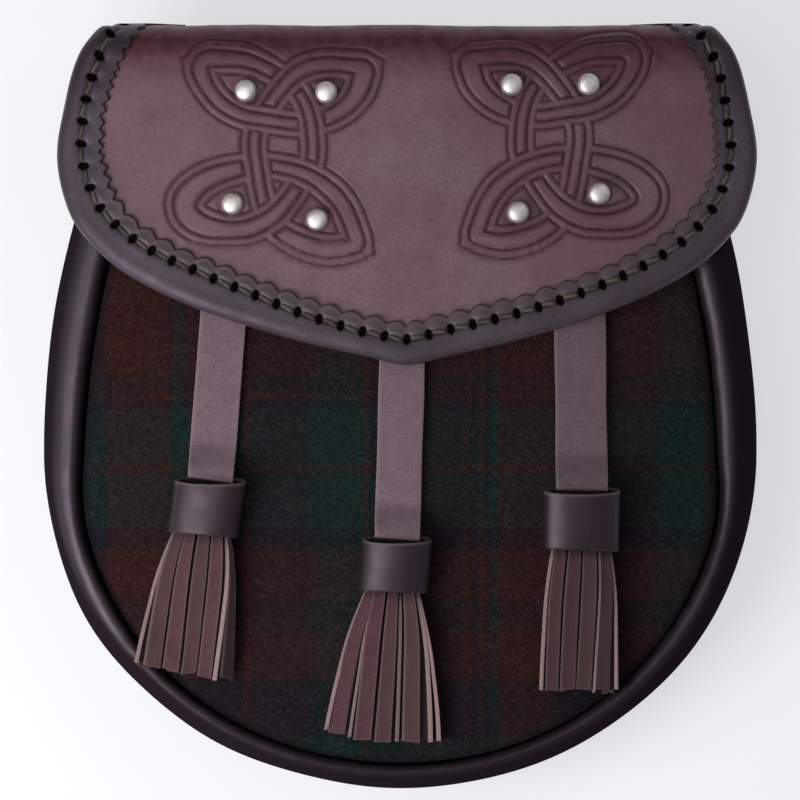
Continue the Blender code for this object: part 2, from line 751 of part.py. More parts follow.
def build_belt_loops(collection):
    """Two leather loops on the back, pressed flat where the pouch lies on them."""
    leather = material("loop leather", (0.050, 0.034, 0.034), 0.50)
    top_y = FOLD_Y - BACK_TOP_GAP - LOOP_TOP_GAP
    at_rest = BACK_UNDER_Z - CLEARANCE - LOOP_THICKNESS / 2
    for side, sign in (("left", -1.0), ("right", 1.0)):
        rows = []
        for profile in LOOP_PROFILE:
            y = top_y - LOOP_HEIGHT * profile["along"]
            z = blend(at_rest, LOOP_THICKNESS / 2, profile["out"])
            x = sign * LOOP_X
            rows.append([(x - LOOP_WIDTH / 2, y, z), (x, y, z), (x + LOOP_WIDTH / 2, y, z)])
        loop = grid_object(f"belt_loop_{side}", rows, leather, collection)
        thicken(loop, LOOP_THICKNESS, 0.0)


def main():
    clear_scene()
    collection = bpy.data.collections.new("sporran_pouch")
    cutters = bpy.data.collections.new("cutters")
    bpy.context.scene.collection.children.link(collection)
    bpy.context.scene.collection.children.link(cutters)
    build_back_panel(collection)
    build_gusset(collection)
    build_front_panel(collection)
    build_flap(collection)
    build_flap_binding(collection)
    build_studs(collection)
    build_tassels(collection, cutters)
    build_belt_loops(collection)


main()
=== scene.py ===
"""Looks of the day sporran: a bound leather flap with two tooled knots and eight studs, a tartan front
in a rolled leather border, and three leather tassels. Metres; X to the right, Y up the face, Z out of it.
"""
import math

import bmesh
import bpy
import numpy as np
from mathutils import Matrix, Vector


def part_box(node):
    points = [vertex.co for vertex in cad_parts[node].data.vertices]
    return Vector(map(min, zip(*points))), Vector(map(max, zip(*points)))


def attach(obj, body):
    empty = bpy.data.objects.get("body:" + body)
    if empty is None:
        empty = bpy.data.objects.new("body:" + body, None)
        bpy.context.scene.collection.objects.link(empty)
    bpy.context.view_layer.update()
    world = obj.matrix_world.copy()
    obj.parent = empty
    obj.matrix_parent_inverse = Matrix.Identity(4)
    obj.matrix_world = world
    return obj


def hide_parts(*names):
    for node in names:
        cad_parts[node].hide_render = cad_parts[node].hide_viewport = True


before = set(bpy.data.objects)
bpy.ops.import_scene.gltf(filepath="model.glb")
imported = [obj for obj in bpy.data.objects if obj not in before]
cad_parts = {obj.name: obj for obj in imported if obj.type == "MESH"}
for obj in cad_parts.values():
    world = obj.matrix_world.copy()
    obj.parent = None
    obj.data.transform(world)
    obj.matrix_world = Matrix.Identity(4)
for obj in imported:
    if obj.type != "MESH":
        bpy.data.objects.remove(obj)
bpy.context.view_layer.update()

MM = 0.001

# The part's own sizes, in metres
CLEARANCE = 0.0003
FOLD_Y = 0.0947
BODY_TOP_Y = 0.0835
MOUTH_Y = 0.0795
BODY_HALF_WIDTH = 0.0893
BODY_WIDEST_Y = -0.0125
BODY_DROP = 0.0836
BODY_RISE = 0.1406
OUTLINE_POWER = 2.05
BACK_UNDER_Z = 0.0028
BACK_THICKNESS = 0.0022
BACK_TOP_Y = 0.0867
BAND_THICKNESS = 0.0020
GUSSET_HEIGHT = 0.0255
FLANGE_WIDTH = 0.011
FLANGE_Z = BACK_UNDER_Z + BACK_THICKNESS + CLEARANCE + BAND_THICKNESS / 2
ROLL_SIDE = 0.0084
ROLL_BOTTOM = 0.0061
ROLL_BULGE = 0.0030
ROLL_TOP_Z = FLANGE_Z + GUSSET_HEIGHT + BAND_THICKNESS / 2
PANEL_THICKNESS = 0.0020
PANEL_RECESS = 0.0019
PANEL_EDGE_Z = ROLL_TOP_Z - PANEL_RECESS
PANEL_CROWN = 0.0080
DOME_POWER = 2.4
ROLL_RISE_START = 0.88
ROLL_RISE_END = 0.97
FLAP_HALF_WIDTH = 0.0874
FLAP_SHIFT = 0.00175
FLAP_THICKNESS = 0.0020
FLAP_SPREAD = 1.13
FLAP_DROP = 0.0760
FLAP_TOP_RUN = 0.0200
FOLD_RADIUS = 0.0080
BACK_FOLD_RADIUS = 0.0075
LAP_LENGTH = 0.0130
LAP_HALF_WIDTH = 0.0470
LAP_Z = BACK_UNDER_Z + BACK_THICKNESS + CLEARANCE + FLAP_THICKNESS / 2
BINDING_THICKNESS = 0.0010
BINDING_GAP = 0.0005
BINDING_REACH = FLAP_THICKNESS / 2 + BINDING_GAP + BINDING_THICKNESS
STRAP_THICKNESS = 0.0020
FLAP_EASE = 0.0016
FLAP_EDGE_LIFT = PANEL_RECESS + CLEARANCE + BINDING_REACH
FLAP_LIFT = CLEARANCE + STRAP_THICKNESS + CLEARANCE + BINDING_REACH
FLAP_CROWN = PANEL_CROWN + FLAP_LIFT - FLAP_EDGE_LIFT + FLAP_EASE
FOLD_MIDDLE_Y = FOLD_Y - FLAP_THICKNESS / 2
FOLD_START_Y = FOLD_MIDDLE_Y - FOLD_RADIUS
FRONT_BEND = FOLD_RADIUS * math.pi / 2
BACK_BEND = BACK_FOLD_RADIUS * math.pi / 2
FOLD_RUN = FRONT_BEND + FLAP_TOP_RUN + BACK_BEND
STUD_DIAMETER = 0.0055
STUD_HEIGHT = 0.0021
STUD_BRIM = 0.00032
DOME_STEPS = 14
LOOP_THICKNESS = 0.0018
LOOP_HEIGHT = 0.036
LOOP_TOP_Y = BACK_TOP_Y - 0.007
# A belt loop down its height: how far down, and how far off the back, as shares
LOOP_PROFILE = ((0.0, 0.0), (0.14, 0.0), (0.24, 1.0), (0.76, 1.0), (0.86, 0.0), (1.0, 0.0))
STRAP_WIDTH = 0.0125
CAP_WALL = 0.0010
CAP_DEPTH = 0.0092
CAP_WIDTH = 0.0180
CAP_HEIGHT = 0.0130
CAP_EDGE_EASE = 0.00018
CAP_LIP_RISE = 0.0020
# The cap's section: how square its sides and its front are, against a round of 1
CAP_SIDE_POWER = 0.94
CAP_FRONT_POWER = 0.96
STRAP_TUCK = 0.0035
STRAP_RISE = 0.009
STRAP_CURL = 0.0007
TASSEL_TILT = math.radians(7.0)

# Points nearer than this become one, in metres: on the flap, on the other pieces and on the studs
FLAP_WELD = 0.00002
WELD = 0.000005
STUD_WELD = 0.000001

# A distance in millimetres that counts as far from any mark, and one beyond a band's open end
FAR_MM = 9.0
BEYOND_MM = 99.0


def table(columns, *rows):
    """Rows of numbers as dictionaries, with the columns' names as keys."""
    names = columns.split()
    return [dict(zip(names, row)) for row in rows]


# The gusset's section: shares of the flange's width, of the roll's width and of the height
GUSSET_SECTION = table(
    "flange roll height",
    (1.00, 0.00, 0.00), (0.40, 0.00, 0.00), (0.14, 0.00, 0.04), (0.05, 0.00, 0.15), (0.01, 0.00, 0.38),
    (0.00, 0.00, 0.62), (0.00, 0.05, 0.76), (0.00, 0.18, 0.86), (0.00, 0.40, 0.95), (0.00, 0.60, 0.99),
    (0.00, 0.76, 1.00), (0.00, 0.90, 0.965), (0.00, 0.98, 0.88), (0.00, 1.00, 0.75),
)

# The rolled border's finish, each for the side near the key light and for the side turned away from
# it, as shares of the roll's width: where the painted highlight along its crest lies and how strong it
# is, and where its polish starts; outside that its shine is turned down and painted shade laid on
CREST_AT = (0.56, 0.80)
CREST_WIDTH = 0.14
CREST_STRENGTH = (1.0, 0.65)
POLISH_FROM = (0.15, 0.50)
POLISH_EASE = (0.45, 0.32)

# The flap's free edge behind the fold's start, then on the face: shares as in the part
FLAP_BACK_ROWS = table(
    "half back",
    (0.615, 1.00), (0.690, 0.93), (0.745, 0.78), (0.800, 0.52), (0.856, 0.28), (0.900, 0.15),
)
FLAP_FRONT_ROWS = table(
    "half drop",
    (0.946, 0.000), (0.979, 0.147), (1.000, 0.319), (0.968, 0.490), (0.905, 0.600), (0.798, 0.704),
    (0.620, 0.806), (0.360, 0.906), (0.120, 0.972), (0.000, 1.000),
)

# Studs: shares of the flap's half width, from its middle, and of its drop below the fold
STUD_ROWS = table(
    "across drop",
    (-0.459, 0.100), (-0.230, 0.105), (-0.497, 0.471), (-0.256, 0.523), (0.298, 0.080), (0.517, 0.078),
    (0.547, 0.437), (0.316, 0.499),
)

# Tassels: places as shares of the body's half width and drop, from its widest line, sizes as
# shares of the strap's width and the cap's width and height, and the painted shade on the strap where
# the light falls off to the right
TASSELS = {
    "left": {
        "top": (-0.483, 0.560), "cap": (-0.531, -0.090), "tip": (-0.606, -0.650),
        "strap": 0.92, "cap_width": 0.99, "cap_height": 0.985,
        "slant_top": 7.0, "slant_low": 3.0, "painted_dimming": 0.0,
    },
    "centre": {
        "top": (0.010, 0.420), "cap": (-0.008, -0.266), "tip": (-0.052, -0.846),
        "strap": 0.91, "cap_width": 0.955, "cap_height": 0.94,
        "slant_top": 4.5, "slant_low": 2.0, "painted_dimming": 0.0,
    },
    "right": {
        "top": (0.502, 0.560), "cap": (0.509, -0.120), "tip": (0.500, -0.706),
        "strap": 1.025, "cap_width": 1.055, "cap_height": 1.075,
        "slant_top": 1.0, "slant_low": -1.5, "painted_dimming": 0.22,
    },
}

# Each fringe's front strips in millimetres from the tassel's middle line: at the cap's mouth, at the
# cut end, their widths there, how far down they reach, their turn in degrees and the painted shade on them
STRIP_COLUMNS = "mouth end root wide reach turn shade"
FRONT_STRIPS = {
    "left": table(
        STRIP_COLUMNS,
        (-9.1, -12.1, 0.7, 1.0, 46.7, 88.0, 0.10), (-7.6, -8.1, 3.3, 4.3, 47.3, -14.0, 0.0),
        (-3.9, -3.1, 3.3, 4.2, 47.4, 5.0, 0.0), (0.4, 1.2, 3.7, 3.7, 47.5, -4.0, 0.12),
        (4.6, 5.4, 3.7, 3.6, 47.9, 4.0, 0.0), (7.6, 8.1, 1.0, 1.15, 48.3, 90.0, 0.0),
        (8.4, 10.6, 1.2, 3.4, 47.3, -34.0, 0.80),
    ),
    "centre": table(
        STRIP_COLUMNS,
        (-8.9, -14.0, 0.7, 1.0, 47.8, 88.0, 0.10), (-7.3, -11.3, 3.2, 4.4, 48.6, 16.0, 0.10),
        (-5.9, -7.9, 0.4, 0.8, 49.2, 88.0, 0.25), (-4.3, -4.6, 3.9, 4.4, 49.8, -3.0, 0.0),
        (0.0, 0.5, 3.2, 4.2, 49.9, 4.0, 0.15), (2.3, 3.8, 0.8, 1.0, 49.4, 88.0, 0.45),
        (5.2, 7.3, 3.7, 4.5, 49.2, -4.0, 0.05), (7.9, 12.4, 1.0, 1.25, 48.9, 90.0, 0.0),
        (8.5, 14.3, 0.6, 1.15, 48.5, 90.0, 0.0),
    ),
    "right": table(
        STRIP_COLUMNS,
        (-8.3, -9.3, 0.9, 1.0, 49.0, 90.0, 0.0), (-5.9, -6.85, 3.3, 3.3, 49.1, 4.0, 0.25),
        (-1.85, -2.95, 3.7, 3.8, 48.9, -3.0, 0.25), (2.5, 1.4, 3.9, 3.8, 48.9, 12.0, 0.35),
        (5.2, 3.8, 0.6, 0.7, 49.4, 88.0, 0.10), (7.0, 6.0, 2.9, 3.4, 48.7, 5.0, 0.50),
        (8.5, 9.5, 0.7, 1.0, 48.6, 90.0, 0.05),
    ),
}
STRIP_THICKNESS = 0.0012
FRINGE_SEEDS = {"left": 91, "centre": 92, "right": 93}
# Under the front strips, in metres off the panel where a number is a height: two layers, each with
# its level from the lowest to the front one and the painted shade on it
UNDER_STRIPS = 6
UNDER_LAYERS = ((0.5, 0.55), (0.0, 0.70))
FRONT_FINISH = 0.0043
UNDER_FINISH = 0.0034
# A strip turned further than this many degrees lies on its edge; the cap squeezes all of them
# together over this share of their length, from the half width that the table's places mean
ON_EDGE_TURN = 60.0
GATHER_SHARE = 0.45
TABLE_MOUTH = 0.0096

# One knot's strand in millimetres from the knot's middle: a closed run over and under itself,
# with half the width of its raised band
KNOT_STRAND = table(
    "across up half",
    (-18.4, 20.3, 2.10), (-16.8, 16.0, 1.75), (-13.2, 11.7, 1.62), (-8.0, 8.7, 1.50), (-1.6, 7.5, 1.45),
    (5.1, 6.5, 1.38), (9.5, 7.0, 1.38), (13.5, 8.1, 1.75), (17.5, 10.5, 2.00), (20.7, 14.1, 2.25),
    (22.0, 17.6, 2.50), (22.4, 20.1, 2.25), (19.1, 21.0, 1.75), (13.1, 21.4, 1.75), (7.9, 20.4, 1.75),
    (3.9, 17.6, 1.62), (0.0, 12.9, 1.50), (-3.2, 7.7, 1.45), (-4.9, 2.1, 1.38), (-4.0, -5.9, 1.38),
    (-2.8, -12.3, 1.38), (-1.0, -16.9, 1.50), (2.0, -20.6, 1.75), (7.1, -23.4, 2.12), (13.1, -25.0, 2.12),
    (18.3, -24.4, 2.00), (20.7, -23.4, 1.88), (20.1, -20.6, 1.88), (17.9, -15.1, 1.88), (14.7, -10.7, 1.88),
    (9.9, -7.1, 1.62), (5.1, -5.1, 1.50), (-0.2, -4.1, 1.45), (-4.8, -4.2, 1.62), (-9.2, -4.8, 1.88),
    (-14.0, -6.1, 2.20), (-18.4, -8.3, 2.50), (-21.6, -11.5, 2.88), (-22.2, -14.3, 2.88),
    (-20.8, -17.0, 2.75), (-16.8, -19.2, 2.50), (-11.2, -20.0, 2.00), (-5.6, -19.4, 2.00),
    (-0.4, -16.7, 1.88), (3.1, -13.1, 1.62), (5.7, -9.5, 1.50), (8.5, -5.1, 1.38), (9.7, -1.1, 1.38),
    (9.4, 5.3, 1.38), (8.3, 10.1, 1.30), (6.3, 14.1, 1.25), (3.1, 17.2, 1.38), (-0.8, 19.8, 1.50),
    (-6.4, 22.2, 1.62), (-12.0, 22.8, 1.75), (-16.8, 22.6, 2.00),
)
KNOT_PLACES = table(
    "x y mirror",
    (-31.25, 63.5, 1.0), (40.0, 65.4, -1.0),
)
# How finely the strand's curve is stepped, and how far a stretch runs into the next ones
KNOT_STEPS = 12
OVERLAP_STEPS = 3
PARALLEL = 1e-12
# In millimetres: how far outside the strand its line is cut, half the box that holds a knot, and how
# far apart the flap's grid lines lie there
KNOT_RIM = 2.1
KNOT_HALF_BOX = (31.0, 34.0)
KNOT_SPACING = 0.34
# The strand's rows that are drawn out to points, how far, and from how many steps on both sides
KNOT_TIPS = (0, 11, 26)
KNOT_TIP_STRETCH = 1.30
KNOT_TIP_SPREAD = 14

# The tooling's relief, each as its height and its width in millimetres: the raised bands, the lines
# beside them, the line round the whole knot, the pillows inside it, and the ring pressed by each stud
BAND_RELIEF = (0.20, 1.1)
LINE_RELIEF = (-0.40, 0.42)
RIM_RELIEF = (-0.34, 0.40)
PILLOW_RELIEF = (0.06, 0.9)
SEAT_RELIEF = (-0.30, 0.55)
SEAT_RADIUS = 3.2
STUD_COVER = 2.6
LOBE_WIDTH = 6.0

# The leather's own waves on the flap: height in millimetres, size in metres, and seed
HAND_WAVES = ((0.16, 0.034, 5), (0.05, 0.011, 8))

# Where the flap's grid is fine enough for the tooling, in millimetres across it and down its run, and
# how far apart its lines lie elsewhere
KNOT_ACROSS = ((-61.0, -1.5), (10.5, 69.0))
KNOT_RUN = (-9.0, 45.0)
PLAIN_SPACING = 1.3

# The seam on the binding, along its length from the upper left: how far the stitches lie in from the
# rim, and the pinked edge beyond them, in millimetres
SEAM_ROWS = table(
    "along stitch pinked",
    (0.000, 4.3, 4.2), (0.120, 4.4, 5.0), (0.141, 5.6, 5.1), (0.175, 5.4, 5.0), (0.205, 6.5, 5.0),
    (0.245, 7.6, 4.7), (0.290, 8.3, 3.7), (0.345, 8.8, 3.4), (0.385, 8.2, 3.5), (0.430, 6.7, 3.7),
    (0.465, 5.9, 3.7), (0.510, 6.5, 3.7), (0.615, 6.7, 3.6), (0.680, 7.4, 3.6), (0.745, 8.0, 3.7),
    (0.790, 7.0, 3.6), (0.835, 6.2, 3.2), (0.880, 5.2, 3.6), (1.000, 4.3, 4.2),
)
# The lacing, in metres: its stitches, its thread and how deep it is pulled in
STITCH_PITCH = 0.0056
THREAD_RADIUS = 0.00058
THREAD_SIDES = 12
THREAD_LAY = 0.0021
SEAM_SINK = 0.00050
STITCH_DIVE = 0.00170

# The binding, in metres: how far in from the rim it turns round and how square, its pinked teeth and
# the holes of its stitches, and its section's rows in millimetres: round the rim, behind the flap and
# back along the inside of the fold
TURN_REACH = 0.0024
TURN_POWER = 2.3
SIDE_TOOTH = 0.0032
TOOTH_DEPTH = 0.0014
FRONT_FROM = 0.0025
TURN_ROWS = (2.3, 1.8, 1.35, 0.95, 0.6, 0.32, 0.12, 0.0)
REAR_ROWS = (0.12, 0.32, 0.6, 1.1, 1.8, 3.0, 5.3, 7.5)
REAR_SEAM = 0.0053
INNER_ROWS = table(
    "inset lift",
    (7.5, -1.5), (3.0, -1.5), (1.6, -1.2), (1.1, 0.0), (1.6, 1.2), (3.0, 1.5), (6.5, 1.4),
)
HOLE_DEPTH = 0.00095
HOLE_SHAPE = (0.92, 1.35)
HOLE_FLOOR = FLAP_THICKNESS / 2 + 0.00062
STANDING_LIFT = 0.45
STANDING_FROM = 0.0085
STANDING_EASE = 0.0035
FOLD_SHADE = 0.016

# Seams on the back, in metres
BACK_STITCH = {"pitch": 0.0042, "inset": 0.0058, "radius": 0.00030, "dip": 0.00045}
LOOP_STITCH = {"pitch": 0.0036, "inset": 0.002, "radius": 0.00028, "dip": 0.00040}
STITCH_SINK = 0.00012
BACK_TWIST = 3000.0

# Leather's pores in millimetres, and how much of a shaded line is full
PORE_MM = 0.55
LINE_CORE = 0.35


def smooth_step(share):
    """0 below 0, 1 above 1, and an even S between them."""
    share = np.clip(share, 0.0, 1.0)
    return share * share * (3.0 - 2.0 * share)


def blend(first, second, share):
    """From the first value at share 0 to the second at share 1."""
    return first + (second - first) * share


def bump_at(distance, width):
    """A soft bump: 1 at no distance, near 0 beyond twice the width."""
    return np.exp(-((distance / width) ** 2))


def through_points(points, steps, closed=False):
    """Points on one smooth curve through the given ones, with steps pieces between two of them."""
    points = np.asarray(points, dtype=float)
    count = len(points)
    last = count - 1
    curve = []
    for index in range(count if closed else last):
        if closed:
            picks = [(index - 1) % count, index, (index + 1) % count, (index + 2) % count]
        else:
            picks = [max(0, index - 1), index, index + 1, min(last, index + 2)]
        before, start, end, after = points[picks]
        for step in range(steps):
            t = step / steps
            pull = (end - before) * t + (2 * before - 5 * start + 4 * end - after) * t ** 2
            curve.append(start + 0.5 * (pull + (3 * start - before - 3 * end + after) * t ** 3))
    if not closed:
        curve.append(points[last])
    return np.array(curve)


def run_lengths(points):
    """Distance along a line of points, from its start."""
    steps = np.linalg.norm(np.diff(points, axis=0), axis=1)
    return np.concatenate(([0.0], np.cumsum(steps)))


def soft_waves(x, y, size, seed):
    """Smooth random waves between about -1 and 1, of one real size in metres."""
    count = 7
    chance = np.random.default_rng(seed)
    total = np.zeros(np.broadcast(x, y).shape)
    for _ in range(count):
        angle = chance.uniform(0.0, 2.0 * math.pi)
        length = size * chance.uniform(0.7, 1.5)
        along = (x * math.cos(angle) + y * math.sin(angle)) * 2.0 * math.pi / length
        total += np.sin(along + chance.uniform(0.0, 2.0 * math.pi))
    return total / math.sqrt(count)


# The pouch's own surfaces, as in the part

def body_half_width(y):
    """Half the body's width at a height on the face."""
    reach = np.where(y < BODY_WIDEST_Y, BODY_DROP, BODY_RISE)
    share = np.minimum(1.0, np.abs(y - BODY_WIDEST_Y) / reach)
    return BODY_HALF_WIDTH * (1.0 - share ** OUTLINE_POWER) ** (1.0 / OUTLINE_POWER)


def body_path(top_y, upper_steps, lower_steps):
    """The body's outline as a U, from its upper left end round the bottom to its upper right end."""
    rounding = 2.0 / OUTLINE_POWER
    left_y = blend(top_y, BODY_WIDEST_Y, np.arange(upper_steps) / upper_steps)
    left = np.column_stack((-body_half_width(left_y), left_y))
    angle = math.pi * np.arange(lower_steps + 1) / lower_steps
    side = np.copysign(np.abs(np.cos(angle)) ** rounding, np.cos(angle))
    down = np.abs(np.sin(angle)) ** rounding
    bowl = np.column_stack((-BODY_HALF_WIDTH * side, BODY_WIDEST_Y - BODY_DROP * down))
    right = left[::-1] * np.array((-1.0, 1.0))
    return np.concatenate((left, bowl, right))


def path_normals(path):
    """Unit normals on the outer side of a U run this way."""
    along = np.gradient(path, axis=0)
    normals = np.column_stack((along[:, 1], -along[:, 0]))
    return normals / np.linalg.norm(normals, axis=1)[:, None]


def roll_width(normals):
    """The rolled border narrows from the sides to the bottom, and bulges over the panel near the flap."""
    bulge = ROLL_BULGE * smooth_step((normals[:, 1] + 0.30) / 0.55)
    return bulge + blend(ROLL_SIDE, ROLL_BOTTOM, np.maximum(0.0, -normals[:, 1]) ** 2)


def dome_share(x, y, spread):
    """0 in the middle of the front, 1 at its edge, for an edge spread outwards by a share."""
    reach = np.where(y < BODY_WIDEST_Y, BODY_DROP - ROLL_BOTTOM, BODY_RISE)
    across = np.abs(x) / ((BODY_HALF_WIDTH - ROLL_SIDE) * spread)
    along = np.abs(y - BODY_WIDEST_Y) / (reach * spread)
    return (across ** OUTLINE_POWER + along ** OUTLINE_POWER) ** (1.0 / OUTLINE_POWER)


def panel_z(x, y):
    """The domed front's level."""
    return PANEL_EDGE_Z + PANEL_CROWN * (1.0 - dome_share(x, y, 1.0) ** DOME_POWER)


def rest_z(x, y):
    """The level that the tassels lie on: the front, rising to the border at its edge."""
    on_roll = smooth_step((dome_share(x, y, 1.0) - ROLL_RISE_START) / (ROLL_RISE_END - ROLL_RISE_START))
    return blend(panel_z(x, y), ROLL_TOP_Z, on_roll)


def flap_z(x, y):
    """The level of the flap's middle surface on the face."""
    return PANEL_EDGE_Z + FLAP_EDGE_LIFT + FLAP_CROWN * (1.0 - dome_share(x, y, FLAP_SPREAD) ** DOME_POWER)


def flap_points(x, run):
    """The flap's middle surface: run is 0 where the fold starts, positive down the face."""
    back = np.maximum(-run, 0.0)
    front_turn = np.clip(back / FOLD_RADIUS, 0.0, math.pi / 2)
    upright = np.clip((back - FRONT_BEND) / FLAP_TOP_RUN, 0.0, 1.0)
    back_turn = np.clip((back - FRONT_BEND - FLAP_TOP_RUN) / BACK_FOLD_RADIUS, 0.0, math.pi / 2)
    lap = np.maximum(back - FOLD_RUN, 0.0)
    y_front = FOLD_START_Y - np.maximum(run, 0.0)
    face_z = flap_z(x, y_front)
    y = y_front + FOLD_RADIUS * np.sin(front_turn) - BACK_FOLD_RADIUS * (1.0 - np.cos(back_turn)) - lap
    z = face_z - FOLD_RADIUS * (1.0 - np.cos(front_turn))
    z = z + (LAP_Z + BACK_FOLD_RADIUS - face_z + FOLD_RADIUS) * upright
    z = z - BACK_FOLD_RADIUS * np.sin(back_turn)
    return np.stack((x, y, z), axis=-1)


def flap_normals(x, run):
    """Unit normals on the flap's outer side."""
    step = 0.0002
    across = flap_points(x + step, run) - flap_points(x - step, run)
    down = flap_points(x, run + step) - flap_points(x, run - step)
    normals = np.cross(down, across)
    return normals / np.linalg.norm(normals, axis=-1)[..., None]


def flap_edge():
    """Half of the flap's outer edge in the flat, from the lap round to the tip, as (half width, run)."""
    back = [(row["half"] * FLAP_HALF_WIDTH, -row["back"] * FOLD_RUN) for row in FLAP_BACK_ROWS]
    front = [(row["half"] * FLAP_HALF_WIDTH, row["drop"] * FLAP_DROP) for row in FLAP_FRONT_ROWS]
    mirrored_tip = (-front[-2][0], front[-2][1])
    steps = 16
    whole = through_points(back + front + [mirrored_tip], steps)
    return whole[:-steps]


def inset_edge(edge, distance):
    """The flap's half edge moved in by a distance."""
    along = np.gradient(edge, axis=0)
    along[-1] = (-1.0, 0.0)
    inward = np.column_stack((-along[:, 1], along[:, 0]))
    inward /= np.linalg.norm(inward, axis=1)[:, None]
    inward[inward[:, 0] > 0.0] *= -1.0
    moved = edge + inward * distance
    moved[-1, 0] = 0.0
    return moved


# Making meshes

def piece(name, points, faces, material, attributes=None):
    """One mesh piece of the pouch, smooth shaded, with float attributes on its points."""
    mesh = bpy.data.meshes.new(name)
    mesh.from_pydata(np.asarray(points).reshape(-1, 3).tolist(), [], faces)
    mesh.validate()
    mesh.shade_smooth()
    mesh.materials.append(material)
    for title, values in (attributes or {}).items():
        layer = mesh.attributes.new(title, "FLOAT", "POINT")
        layer.data.foreach_set("value", np.asarray(values, dtype=np.float32).ravel())
    made = bpy.data.objects.new(name, mesh)
    bpy.context.scene.collection.objects.link(made)
    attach(made, "root")
    return made


def grid_faces(rows, columns, closed_rows=False, closed_columns=False, start=0):
    """Quads between neighbouring points of a grid; a closed grid joins its last line to its first."""
    row = np.arange(rows if closed_rows else rows - 1)
    column = np.arange(columns if closed_columns else columns - 1)
    upper = (row[:, None] * columns + column[None, :]).ravel()
    right = (row[:, None] * columns + (column[None, :] + 1) % columns).ravel()
    lower_row = (row[:, None] + 1) % rows
    lower = (lower_row * columns + column[None, :]).ravel()
    lower_right = (lower_row * columns + (column[None, :] + 1) % columns).ravel()
    return (np.column_stack((upper, lower, lower_right, right)) + start).tolist()


def end_faces(rows, columns):
    """The two faces that close a grid of closed rows at its ends."""
    first = [row * columns for row in range(rows)]
    last = [row * columns + columns - 1 for row in range(rows - 1, -1, -1)]
    return [first, last]


def tube_parts(rings, start=0):
    """A capped tube through closed rings: its points and faces."""
    rings = np.asarray(rings)
    count, around = rings.shape[:2]
    faces = grid_faces(count, around, closed_columns=True, start=start)
    faces.append([start + index for index in range(around)])
    faces.append([start + (count - 1) * around + around - 1 - index for index in range(around)])
    return rings.reshape(-1, 3), faces


def tube_group(name, tubes, material, attributes=None):
    """Several capped tubes as one piece."""
    points = []
    faces = []
    start = 0
    for rings in tubes:
        more_points, more_faces = tube_parts(rings, start)
        points.append(more_points)
        faces += more_faces
        start += len(more_points)
    return piece(name, np.concatenate(points), faces, material, attributes)


def rope(line, radius, around, twist, upright=(0.0, 0.0, 1.0)):
    """Rings round a line of points, swelling and twisting as two plies of thread do."""
    plies = 2
    line = np.asarray(line)
    along = np.gradient(line, axis=0)
    along /= np.linalg.norm(along, axis=1)[:, None]
    side = np.cross(along, np.asarray(upright))
    side /= np.linalg.norm(side, axis=1)[:, None]
    top = np.cross(side, along)
    angle = 2.0 * math.pi * np.arange(around) / around
    run = run_lengths(line)[:, None]
    swell = 0.80 + 0.20 * np.abs(np.cos(plies * (angle[None, :] + run * twist) / 2.0))
    reach = np.asarray(radius).reshape(-1, 1) * swell * np.ones((len(line), around))
    return (
        line[:, None, :]
        + side[:, None, :] * (np.cos(angle)[None, :] * reach)[..., None]
        + top[:, None, :] * (np.sin(angle)[None, :] * reach)[..., None]
    )


# Materials

def linear(hex_colour):
    """An sRGB hex colour as linear RGBA."""
    parts = [int(hex_colour[index:index + 2], 16) / 255.0 for index in (1, 3, 5)]
    levels = [part / 12.92 if part <= 0.04045 else ((part + 0.055) / 1.055) ** 2.4 for part in parts]
    return (*levels, 1.0)


